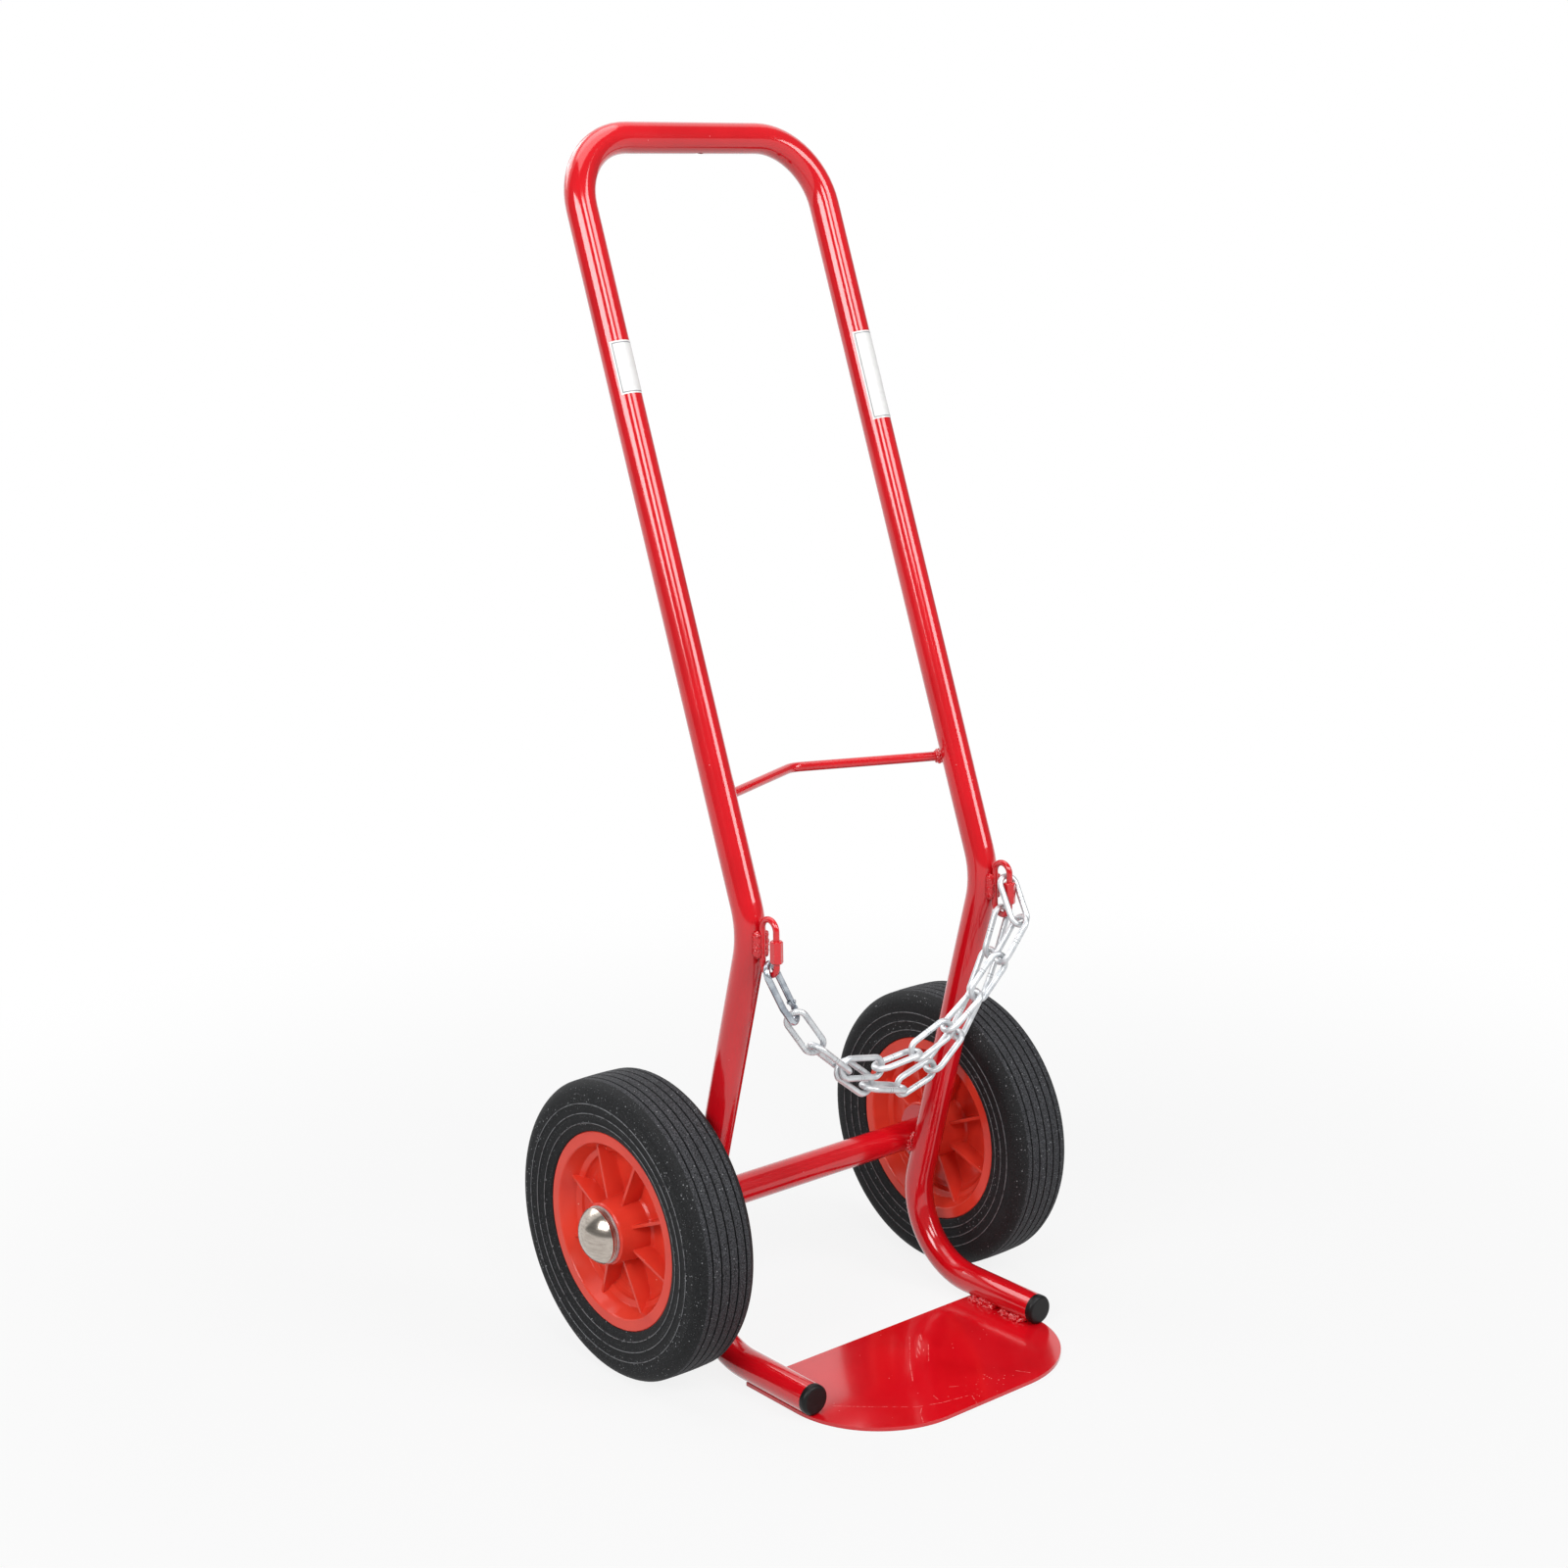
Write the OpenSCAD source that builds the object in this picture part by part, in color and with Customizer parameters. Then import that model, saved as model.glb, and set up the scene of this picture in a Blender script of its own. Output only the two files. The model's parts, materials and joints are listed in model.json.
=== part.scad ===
// Gas cylinder trolley: a frame bent from one steel tube on two solid rubber wheels,
// with a toe plate, a rest bar and a hold chain that is doubled back between two quick links.
// Millimetres. X runs across the trolley, the toe plate points to -Y, Z is up from the ground.

/* [Frame tube] */
// Outside diameter of the frame tube
tube_d = 25; // [22:0.5:28]
// Wall of the frame tube
tube_wall = 2; // [1.5:0.1:3]
// Distance between the centre lines of the two rails
rail_spacing = 248; // [236:1:252]
// Height of the handle's centre line above the ground
handle_h = 982; // [900:1:1060]
// Run of the upper rails to the rear, from knee to handle
handle_back = 216; // [180:1:250]
// Height of the knee, where the rails bend
knee_h = 382; // [360:1:410]
// Run of the lower rails to the front, from foot to knee
knee_reach = 104; // [90:1:120]
// Bend radius between foot and lower rail
foot_bend_r = 65; // [50:1:70]
// Bend radius of the knees
knee_bend_r = 70; // [50:1:100]
// Bend radius of the handle's corners
handle_bend_r = 58; // [45:1:80]
// Length of a foot, from its corner to the tip of its cap
foot_l = 172; // [160:1:190]
// Diameter of the drain hole under the handle
drain_d = 9; // [5:0.5:12]
// Distance of the drain hole from the middle of the handle
drain_x = 6; // [-30:1:30]

/* [End caps] */
// Height of a cap's head outside the tube
cap_head = 6; // [4:0.5:8]
// Radius on the edge of a cap's head
cap_edge_r = 3; // [1:0.5:3.5]
// Depth of a cap's plug inside the tube
cap_plug_l = 16; // [10:1:25]
// Wall of a cap's hollow plug
cap_plug_wall = 2.5; // [1.5:0.5:4]

/* [Toe plate] */
// Thickness of the toe plate
plate_t = 3; // [2:0.5:5]
// Width of the toe plate
plate_w = 259; // [252:1:280]
// Depth of the toe plate, front to rear
plate_l = 149; // [142:1:170]
// Radius of the plate's two front corners
plate_corner_r = 85; // [75:1:105]
// Distance from the cap tips to the plate's front edge
plate_ahead = 68; // [60:1:85]

/* [Axle] */
// Diameter of the solid axle
axle_d = 20; // [16:0.5:20]
// Outside diameter of the welded axle tube
axle_tube_d = 25; // [24:0.5:28]
// Distance between the middles of the two wheels
wheel_track = 346; // [342:1:370]
// Length by which the axle reaches into each hub cap
axle_end = 6; // [4:0.5:8]
// Diameter of the washers beside the hubs
washer_d = 47; // [40:1:48]
// Thickness of the washers
washer_t = 1.5; // [1:0.1:2.5]

/* [Wheels] */
// Diameter of the wheels over the tread
wheel_d = 250; // [240:1:260]
// Width of the tyre
tyre_w = 59; // [56:1:62]
// Width of the tread between the edges of the shoulders
tread_w = 41; // [36:1:46]
// Rise of the tread from its edges to its middle
tread_crown = 0.6; // [0.2:0.1:1.5]
// Arc of the shoulder between sidewall and tread, where 90 leaves no edge
shoulder_arc = 65; // [45:1:85]
// Radius at which the sidewall is widest
sidewall_r = 112; // [109:1:115]
// Draw-in of the sidewall from its widest place to the rim
sidewall_draw = 4; // [3:0.5:6]
// Count of grooves round the tread
groove_count = 5; // [3:1:7]
// Width of a tread groove
groove_w = 1.6; // [1:0.1:2.5]
// Depth of a tread groove
groove_depth = 1.5; // [0.5:0.1:2.5]
// Count of ridges round each sidewall
ridge_count = 3; // [1:1:3]
// Spacing of the sidewall ridges
ridge_step = 8.2; // [6:0.1:9]
// Height of a sidewall ridge
ridge_h = 0.9; // [0.4:0.1:1.2]
// Diameter of the rim over its lips
rim_d = 165; // [155:1:172]
// Width of the rim over its lips
rim_w = 49; // [45:1:50]
// Width of the flat face of a rim lip
lip_w = 10; // [7:0.5:13]
// Thickness of a rim lip
lip_t = 4; // [3:0.5:6]
// Depth of the tyre seat below the rim lips
seat_depth = 5; // [3:0.5:7]
// Wall of the rim's barrel at the web
barrel_t = 15; // [10:0.5:18]
// Thickness of the web between hub and barrel
web_t = 5; // [3:0.5:8]
// Fillet between the web and the barrel
web_fillet = 9; // [4:0.5:11]
// Diameter of the hub at its ends
hub_d = 51; // [48.5:0.5:54]
// Growth of the hub's radius from its ends to the web
hub_draft = 2; // [0.5:0.5:4]
// Length of the hub
hub_l = 64; // [56:0.5:66]
// Count of ribs round each side of the rim
rib_count = 8; // [5:1:10]
// Thickness of a rib
rib_t = 2.6; // [2:0.1:4]
// Depth of a rib's edge below the hub end
rib_hub_drop = 12; // [6:0.5:15]
// Depth of a rib's edge below the rim lip, at the barrel
rib_rim_drop = 8; // [5:0.5:11]

/* [Hub caps] */
// Diameter of a domed hub cap
hub_cap_d = 46; // [42:0.5:48]
// Height of a hub cap
hub_cap_h = 16.5; // [14:0.5:22]
// Height of the straight skirt of a hub cap
hub_cap_skirt = 4.5; // [4:0.5:6]
// Sheet thickness of a hub cap
hub_cap_t = 0.8; // [0.6:0.1:1.2]
// Thickness of the toothed lock ring inside a hub cap
lock_t = 1.2; // [0.8:0.1:1.6]
// Count of teeth of the lock ring
lock_teeth = 8; // [6:1:10]
// Count of bead lines rolled round the skirt of a hub cap
cap_lines = 2; // [1:1:2]

/* [Rest bar] */
// Diameter of the rest bar
bar_d = 8; // [6:0.5:10]
// Height of the rest bar
bar_h = 477; // [450:1:520]
// Distance of the bar's bend behind the rails' centre lines
bar_set = 67; // [50:1:80]
// Bend radius in the middle of the rest bar
bar_bend_r = 18; // [12:1:30]

/* [Quick links] */
// Wire of the quick links
link_wire = 5; // [4.5:0.5:5.5]
// Outside length of a quick link
link_l = 49; // [46:0.5:52]
// Outside width of a quick link
link_w = 22; // [21:0.5:24]
// Height of the middle of the quick links
link_h = 375; // [370:1:380]
// Gap in the wire inside the sleeve nut
link_gap = 8; // [5:0.5:10]
// Width across the flats of the sleeve nut
nut_af = 9; // [8.5:0.1:9]
// Length of the sleeve nut
nut_l = 18; // [14:0.5:18]
// Distance of the sleeve nut's middle below the link's middle
nut_drop = 2; // [0:0.5:3]

/* [Snap hook] */
// Wire of the snap hook
hook_wire = 5.5; // [5:0.1:5.6]
// Outside length of the snap hook
hook_l = 60; // [56:1:64]
// Radius of the hook's wide bow, on the wire's centre line
hook_top_r = 8; // [7.5:0.1:9]
// Radius of the hook's narrow bow, on the wire's centre line
hook_low_r = 6.6; // [6.4:0.1:7]
// Slant of the lower spine towards the gate
hook_slant = 13; // [10:0.5:16]
// Bend radius in the hook's spine
hook_bend_r = 15; // [10:1:20]
// Distance of the gate's free end from the top of the hook
hook_nose = 16; // [15:0.5:18]
// Distance of the gate's rivet from the top of the hook
hook_pivot = 44; // [42:0.5:45]
// Diameter of the gate's rivet
rivet_d = 1.9; // [1.6:0.1:2.2]
// Thickness of the tongue that the gate turns on
tongue_t = 2.2; // [1.8:0.1:2.4]

/* [Chain] */
// Wire of the chain
chain_wire = 5; // [4.6:0.1:5]
// Inside length of a chain link
chain_inner_l = 37.4; // [37:0.1:38]
// Outside width of a chain link
chain_w = 21; // [20.8:0.1:22]
// Slack between two links of the chain
chain_play = 0.9; // [0.8:0.1:1]
// Slope of the single run per link, against that of a doubled run
single_steepness = 1.8; // [1.5:0.1:2]

/* [Fits] */
// Gap between pieces that are welded or pressed together
seat_gap = 0.1; // [0.05:0.05:0.2]
// Gap on the radius between a turning piece and its pin
run_fit = 0.075; // [0.05:0.005:0.1]
// Side play of the wheels and of loose pieces
side_play = 0.3; // [0.2:0.05:0.5]

/* [Hidden] */
$fn = 96;

paint_red = "#c8161f";
rim_red = "#e8432f";
rubber_black = "#26272a";
cap_black = "#17181a";
zinc = "#c9cdd0";
polished = "#dcdcda";

// Angle close to a given one whose sine and cosine, cut to six places, still make a true turn
function six_places(v) = round(v * 1000000) / 1000000;
function turn_error(a) = abs(norm([six_places(cos(a)), six_places(sin(a))]) - 1);
function tidy_angle(a) =
    let (
        tries = [for (k = [-1000 : 1000]) a + k / 50000],
        errors = [for (t = tries) turn_error(t)],
        best = min(errors)
    )
    [for (i = [0 : len(tries) - 1]) if (errors[i] == best) tries[i]][0];

// Frame: places of the corners in the plane of a rail, and the lean of the rails
rail_x = rail_spacing / 2;
foot_z = plate_t + seat_gap + tube_d / 2;
lower_lean = tidy_angle(atan2(knee_reach, knee_h - foot_z));
knee_turn = tidy_angle(lower_lean + atan2(handle_back, handle_h - knee_h));
upper_lean = knee_turn - lower_lean;
axle_z = wheel_d / 2;
axle_to_rail = (tube_d + axle_tube_d) / 2 + seat_gap;
foot_y = ((axle_z - foot_z) * sin(lower_lean) - axle_to_rail) / cos(lower_lean);
knee_y = foot_y - knee_reach;
handle_y = knee_y + handle_back;
cap_tip_y = foot_y - foot_l;
tube_end_y = cap_tip_y + cap_head;
foot_setback = foot_bend_r * tan((90 + lower_lean) / 2);
knee_setback = knee_bend_r * tan(knee_turn / 2);
foot_run = foot_y - tube_end_y - foot_setback;
lower_run = norm([knee_reach, knee_h - foot_z]) - foot_setback - knee_setback;
upper_run = norm([handle_back, handle_h - knee_h]) - knee_setback - handle_bend_r;
plate_front_y = cap_tip_y - plate_ahead;
plate_rear_y = plate_front_y + plate_l;
rear_y = max(wheel_d / 2, handle_y + tube_d / 2);
middle_y = (plate_front_y + rear_y) / 2;

// Welds: size of each bead
foot_weld_r = 4.5;
foot_weld_l = 20;
foot_weld_inset = 6;
axle_weld_r = 10.5;
axle_weld_core = 3.5;
bar_weld_r = 6;
link_weld_r = 4.2;
link_weld_l = 14;

// Wheels and axle: places along X
hub_in_x = wheel_track / 2 - hub_l / 2;
hub_out_x = wheel_track / 2 + hub_l / 2;
inner_washer_x = hub_in_x - side_play - washer_t;
axle_tube_end_x = inner_washer_x - seat_gap;
outer_washer_x = hub_out_x + side_play;
hub_cap_x = outer_washer_x + washer_t + seat_gap;
axle_end_x = hub_cap_x + axle_end;
hub_bore_r = axle_d / 2 + run_fit;
tyre_r = wheel_d / 2;
tread_edge_r = tyre_r - tread_crown;
lip_r = rim_d / 2;
seat_r = lip_r - seat_depth;
lip_round = 0.8;
hub_edge = 1.2;
cap_line_depth = 0.35;
cap_line_w = 0.5;

// Rest bar: its ends at the back of the rails, its middle behind them
bar_rail_y = knee_y + (bar_h - knee_h) * tan(upper_lean);
bar_end_y = bar_rail_y + tube_d / 2 / cos(upper_lean);
bar_apex_y = bar_rail_y + bar_set;
bar_slant = tidy_angle(2 * atan2(bar_apex_y - bar_end_y, rail_x)) / 2;

// Quick links: centre line radius and place of the bows, in front of the rails' knees
link_r = (link_w - link_wire) / 2;
link_run = link_l - link_wire - 2 * link_r;
knee_centre_y = knee_y + knee_setback * sin(lower_lean) + knee_bend_r * cos(lower_lean);
knee_centre_z = knee_h - knee_setback * cos(lower_lean) + knee_bend_r * sin(lower_lean);
link_back_y = knee_centre_y - knee_bend_r - tube_d / 2 - seat_gap - link_wire / 2;
link_y = link_back_y - link_r;
link_front_y = link_y - link_r;
link_bow_z = link_h - link_run / 2 - link_r;
nut_z = link_h - nut_drop;

// Snap hook: centres of its bows in its own plane, with its top at the origin
hook_top_u = hook_wire / 2 + hook_top_r;
hook_low_u = hook_l - hook_wire / 2 - hook_low_r;
hook_low_v = hook_top_r - hook_low_r;
hook_lean = tidy_angle(hook_slant);
hook_bend_u = hook_low_u
    - ((hook_low_v + hook_top_r) * cos(hook_lean) - hook_low_r) / sin(hook_lean);
hook_eye = [hook_l - 2 * hook_wire, hook_low_v];
hook_skew = atan2(hook_eye[1], hook_eye[0]);
gate_gap = 0.5;
fork_clear = 0.25;
tongue_back = hook_wire * 0.85;

// Chain: centre line radius of a link, length from seat to seat and the twist of the links
chain_r = (chain_w - chain_wire) / 2;
chain_run = chain_inner_l + chain_wire - 2 * chain_r;
chain_reach = chain_inner_l - chain_play;
hook_slack = 3;
hook_reach = norm(hook_eye) - hook_slack;
hook_twist = 52;
link_a_twist = 113;
link_b_twist = -6;
front_twist = 86;
rear_twist = 92;
side_by_side = (chain_wire + chain_play / 2) / 2;
fork_rise = chain_r - chain_wire + 2 * side_play;

// The last front link lies on the right sleeve nut: its fall and its turn towards the chain
collar_fall = 60;
collar_turn = 5;
collar_dir = [
    -sin(collar_turn) * cos(collar_fall),
    -cos(collar_turn) * cos(collar_fall),
    -sin(collar_fall)
];
collar_flat = [-sin(collar_turn), -cos(collar_turn), 0];
collar_rise = 1.7;
collar_slack = 1.6;
rise_angle = 90;
collar_top = [rail_x, link_front_y, nut_z + nut_l / 2 + chain_wire / 2 + collar_rise]
    - collar_flat * ((link_wire + chain_wire) / 2 + side_play);
collar_wire = collar_top + collar_dir * (chain_inner_l + chain_wire);
collar_seat = collar_wire
    + (chain_wire / 2 + collar_slack) * [cos(rise_angle), 0, sin(rise_angle)];

// A chain hangs with a slope that grows by the same tangent from link to link. "sag" holds that
// step and the place of the lowest link, and is found so that the run ends at its target.
function slope(i, sag, singles) =
    atan(sag[0] * (i - sag[1]) * (i < singles ? single_steepness : 1));
function flat_length(reach, drift) = sqrt(reach * reach - drift * drift);
function total(v, i = 0) = i < len(v) ? v[i] + total(v, i + 1) : [0, 0];
function run_end(reach, sag, singles) = total([
    for (i = [0 : len(reach) - 1])
        reach[i] * [cos(slope(i, sag, singles)), sin(slope(i, sag, singles))]
]);
function solve_sag(reach, span, singles, sag, rounds = 30) =
    rounds == 0 ? sag :
    let (
        small = 0.0001,
        miss = run_end(reach, sag, singles) - span,
        by_step = (run_end(reach, sag + [small, 0], singles) - span - miss) / small,
        by_low = (run_end(reach, sag + [0, small], singles) - span - miss) / small,
        area = by_step[0] * by_low[1] - by_step[1] * by_low[0],
        change = [
            (miss[0] * by_low[1] - miss[1] * by_low[0]) / area,
            (by_step[0] * miss[1] - by_step[1] * miss[0]) / area
        ]
    )
    solve_sag(reach, span, singles, sag - change, rounds - 1);
function hang(start, end, reach, singles, guess) =
    let (
        drift = (end[1] - start[1]) / len(reach),
        flat = [for (r = reach) flat_length(r, drift)],
        sag = solve_sag(flat, [end[0] - start[0], end[2] - start[2]], singles, guess)
    )
    [
        for (
            i = 0, p = start;
            i <= len(flat);
            p = i < len(flat)
                ? p + [
                    flat[i] * cos(slope(i, sag, singles)),
                    drift,
                    flat[i] * sin(slope(i, sag, singles))
                ]
                : p,
            i = i + 1
        ) p
    ];

// Heading of a link from seat a to seat b: its fall and its turn about the vertical
function fall(a, b) = atan2(b[2] - a[2], norm([b[0] - a[0], b[1] - a[1]]));
function bearing(a, b) = atan2(b[1] - a[1], b[0] - a[0]);

// Direction of a link's width, for a link from a to b with a given twist
function width_dir(a, b, twist) =
    let (f = fall(a, b), t = bearing(a, b))
    cos(twist) * [-sin(t), cos(t), 0]
    + sin(twist) * [-sin(f) * cos(t), -sin(f) * sin(t), cos(f)];

front_count = 7;
rear_count = 7;
hook_seat = [-rail_x, link_y, link_bow_z + link_wire / 2 + hook_slack / 2];
link_seat = [rail_x, link_y, link_bow_z + link_wire / 2 + chain_play];
front_reach = [
    hook_reach, chain_reach, chain_reach - fork_rise,
    for (i = [1 : front_count - 1]) chain_reach
];
front_path = hang(hook_seat, collar_seat, front_reach, 3, [0.3, 3.6]);
fork_width = width_dir(front_path[2], front_path[3], link_b_twist);
rear_reach = [for (i = [1 : rear_count]) chain_reach];
rear_start = front_path[3] + fork_width * side_by_side;
rear_path = hang(rear_start, link_seat, rear_reach, 0, [0.4, 2]);

SIDES = ["left", "right"];

// Moves the model so that its box is centred on the origin
module placed() { translate([0, -middle_y, 0]) children(); }

// Puts a piece that is drawn for the right side on the named side
module on_side(side) {
    if (side == "right") children();
    else mirror([1, 0, 0]) children();
}

// Cross-section of a bar, or of a tube if it has a wall
module section(d, wall) {
    difference() {
        circle(d = d);
        if (wall > 0) circle(d = d - 2 * wall);
    }
}

// Bar or tube that starts along X. Each step is a straight run, then a roll about the bar and a
// bend to the left by an angle at a radius. A negative angle bends to the right. A bend is drawn
// a little too long and cut square at its end, where the next run starts.
module bent_bar(steps, d, wall = 0, i = 0) {
    run = steps[i][0];
    turn = abs(steps[i][1]);
    r = steps[i][2];
    flip = [0, steps[i][1] < 0 ? 1 : 0, 0];
    rotate([0, 90, 0]) linear_extrude(run) section(d, wall);
    if (turn > 0)
        translate([run, 0, 0])
            rotate([steps[i][3], 0, 0])
                mirror(flip)
                    translate([0, r, 0]) {
                        difference() {
                            rotate([0, 0, -90])
                                rotate_extrude(angle = turn + 2) translate([r, 0]) section(d, wall);
                            rotate([0, 0, turn]) translate([0, -r - d, -d]) cube(2 * d);
                        }
                        rotate([0, 0, turn])
                            translate([0, -r, 0])
                                mirror(flip)
                                    bent_bar(steps, d, wall, i + 1);
                    }
}

// Arc of round bar in the XY plane, about a centre, from one angle over a turn
module bar_arc(centre, r, from, turn, d) {
    translate([centre[0], centre[1], 0])
        rotate([0, 0, from])
            rotate_extrude(angle = turn) translate([r, 0]) circle(d = d);
}

// Straight bar along X
module bar_run(start, run, d) {
    translate([start[0], start[1], 0]) rotate([0, 90, 0]) cylinder(d = d, h = run);
}

// Closed loop of round bar in the XY plane, with its long way along X
module bar_loop(run, r, d) {
    for (s = [-1, 1]) {
        bar_run([-run / 2, s * r], run, d);
        bar_arc([s * run / 2, 0], r, -s * 90, 180, d);
    }
}

// Runs and bends of one leg, from its foot up to the handle's corner
function leg_steps() = [
    [foot_run, 90 + lower_lean, foot_bend_r, 0],
    [lower_run, -knee_turn, knee_bend_r, 0],
    [upper_run, 0, 0, 0]
];

// Runs and bends of the whole frame, from the right foot over the handle to the left foot
function frame_steps() = [
    leg_steps()[0],
    leg_steps()[1],
    [upper_run, 90, handle_bend_r, -90],
    [rail_spacing - 2 * handle_bend_r, 90, handle_bend_r, 0],
    [upper_run, -knee_turn, knee_bend_r, 90],
    [lower_run, 90 + lower_lean, foot_bend_r, 0],
    [foot_run, 0, 0, 0]
];

// Starts a bar at the tip of the right foot's tube
module from_foot() { translate([rail_x, tube_end_y, foot_z]) rotate([90, 0, 90]) children(); }

// Space for the right leg, as a solid with a gap round it, to cut seats
module leg_space() { from_foot() bent_bar(leg_steps(), tube_d + 2 * seat_gap); }

module frame_tube() {
    color(paint_red) placed()
        difference() {
            from_foot() bent_bar(frame_steps(), tube_d, tube_wall);
            translate([drain_x, handle_y, handle_h - tube_d]) cylinder(d = drain_d, h = tube_d);
        }
}

module end_cap(side) {
    bore_r = tube_d / 2 - tube_wall;
    head_r = tube_d / 2;
    plug_r = bore_r - seat_gap;
    edge = [
        for (a = [0 : 15 : 90])
            [head_r - cap_edge_r * (1 - cos(a)), cap_head - cap_edge_r * (1 - sin(a))]
    ];
    color(cap_black) placed() on_side(side)
        translate([rail_x, tube_end_y, foot_z])
            rotate([90, 0, 0])
                rotate_extrude()
                    polygon(concat(
                        [
                            [0, cap_head], [0, seat_gap],
                            [plug_r - cap_plug_wall, seat_gap], [plug_r - cap_plug_wall, -cap_plug_l],
                            [plug_r, -cap_plug_l], [plug_r, seat_gap], [head_r, seat_gap]
                        ],
                        edge
                    ));
}

module toe_plate() {
    corner_x = plate_w / 2 - plate_corner_r;
    corner_y = plate_front_y + plate_corner_r;
    color(paint_red) placed()
        difference() {
            union() {
                translate([-corner_x, plate_front_y, 0])
                    cube([2 * corner_x, plate_corner_r, plate_t]);
                translate([-plate_w / 2, corner_y, 0])
                    cube([plate_w, plate_corner_r, plate_t]);
                for (s = [-1, 1])
                    translate([s * corner_x, corner_y, 0]) cylinder(r = plate_corner_r, h = plate_t);
            }
            translate([-plate_w, plate_rear_y, -plate_t]) cube([2 * plate_w, plate_l, 3 * plate_t]);
        }
}

// Bead along the inner side of a foot, with round ends
module foot_bead(y) {
    translate([rail_x - tube_d * 0.3, y, plate_t]) {
        rotate([-90, 0, 0]) cylinder(r = foot_weld_r, h = foot_weld_l);
        for (end = [0, foot_weld_l]) translate([0, end, 0]) sphere(r = foot_weld_r);
    }
}

module foot_welds() {
    first = plate_rear_y - foot_weld_inset - foot_weld_l - foot_weld_r;
    last = tube_end_y + foot_weld_inset + foot_weld_r;
    color(paint_red) placed()
        for (s = SIDES, y = [first, last]) on_side(s)
            difference() {
                foot_bead(y);
                leg_space();
                translate([0, plate_front_y, plate_t + seat_gap - foot_weld_r * 2])
                    cube([plate_w, plate_l, foot_weld_r * 2]);
            }
}

module axle_tube() {
    color(paint_red) placed()
        translate([-axle_tube_end_x, 0, axle_z])
            rotate([0, 90, 0])
                linear_extrude(2 * axle_tube_end_x)
                    section(axle_tube_d, (axle_tube_d - axle_d) / 2 - seat_gap);
}

module axle_shaft() {
    color(zinc) placed()
        translate([-axle_end_x, 0, axle_z])
            rotate([0, 90, 0]) cylinder(d = axle_d, h = 2 * axle_end_x);
}

// Ring of weld round the place where a rail and the axle tube touch
module axle_welds() {
    touch = axle_tube_d / 2 + seat_gap / 2;
    color(paint_red) placed()
        for (s = SIDES) on_side(s)
            difference() {
                translate([rail_x, -touch * cos(lower_lean), axle_z - touch * sin(lower_lean)])
                    rotate([90 + lower_lean, 0, 0])
                        difference() {
                            sphere(r = axle_weld_r);
                            cylinder(r = axle_weld_core, h = 2 * axle_weld_r, center = true);
                        }
                leg_space();
                translate([0, 0, axle_z])
                    rotate([0, 90, 0])
                        cylinder(d = axle_tube_d + 2 * seat_gap, h = wheel_track);
            }
}

// The rest bar before its ends are cut to the rails, with a length that is added at each end
module rest_bar_blank(d, added = 0) {
    run = norm([rail_x, bar_apex_y - bar_end_y]) - bar_bend_r * tan(bar_slant) + added;
    translate([-rail_x, bar_end_y, bar_h])
        rotate([0, 0, bar_slant])
            translate([-added, 0, 0])
                bent_bar([[run, -2 * bar_slant, bar_bend_r, 0], [run, 0, 0, 0]], d);
}

module rest_bar() {
    color(paint_red) placed()
        difference() {
            rest_bar_blank(bar_d);
            for (s = SIDES) on_side(s) leg_space();
        }
}

module rest_bar_welds() {
    seat_in = tube_d / 2 * sin(bar_slant);
    color(paint_red) placed()
        for (s = SIDES) on_side(s)
            difference() {
                translate([rail_x - seat_in, bar_end_y + seat_in * tan(bar_slant), bar_h])
                    sphere(r = bar_weld_r);
                leg_space();
                rest_bar_blank(bar_d + 2 * seat_gap, bar_weld_r);
            }
}

// Quick link of the right side: a loop of wire with a gap in its front leg
module quick_link(side) {
    color(paint_red) placed() on_side(side)
        translate([rail_x, link_y, link_h])
            difference() {
                rotate([0, -90, 0]) bar_loop(link_run, link_r, link_wire);
                translate([0, -link_r, -nut_drop]) cube([link_w, link_wire * 1.5, link_gap], center = true);
            }
}

// Beads on both sides of the wire, in the corner between the quick link and the rail's knee
module quick_link_welds() {
    color(paint_red) placed()
        for (s = SIDES, m = [-1, 1]) on_side(s)
            difference() {
                translate([
                    rail_x + m * link_weld_r * 0.7,
                    link_back_y + link_wire / 2 - seat_gap,
                    knee_centre_z - link_weld_l * 0.8
                ]) {
                    cylinder(r = link_weld_r, h = link_weld_l);
                    for (end = [0, link_weld_l]) translate([0, 0, end]) sphere(r = link_weld_r);
                }
                translate([rail_x, knee_centre_y, knee_centre_z])
                    rotate([90, 0, 90])
                        rotate_extrude() translate([knee_bend_r, 0]) circle(d = tube_d + 2 * seat_gap);
                translate([rail_x, link_back_y, knee_centre_z])
                    cylinder(d = link_wire + 2 * seat_gap, h = 2 * link_l, center = true);
                translate([rail_x - m * (link_w - 0.5), link_y, link_h])
                    cube([2 * link_w, 3 * link_w, 2 * link_l], center = true);
            }
}

// Sleeve nut of the quick link: a long hexagon with bevelled ends
module sleeve_nut(side) {
    corner_r = nut_af / 2 / cos(30);
    bevel = corner_r - nut_af / 2 + 0.4;
    color(paint_red) placed() on_side(side)
        translate([rail_x, link_front_y, nut_z])
            difference() {
                intersection() {
                    rotate([0, 0, 30]) cylinder(r = corner_r, h = nut_l, center = true, $fn = 6);
                    rotate_extrude()
                        polygon([
                            [0, -nut_l / 2], [corner_r - bevel, -nut_l / 2], [corner_r, bevel - nut_l / 2],
                            [corner_r, nut_l / 2 - bevel], [corner_r - bevel, nut_l / 2], [0, nut_l / 2]
                        ]);
                }
                cylinder(d = link_wire + 2 * run_fit, h = 2 * nut_l, center = true);
            }
}

// Puts a wheel piece, drawn about Z with its outer side up, on its side of the axle
module at_wheel(side, x) {
    placed() on_side(side) translate([x, 0, axle_z]) rotate([0, 90, 0]) children();
}

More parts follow.
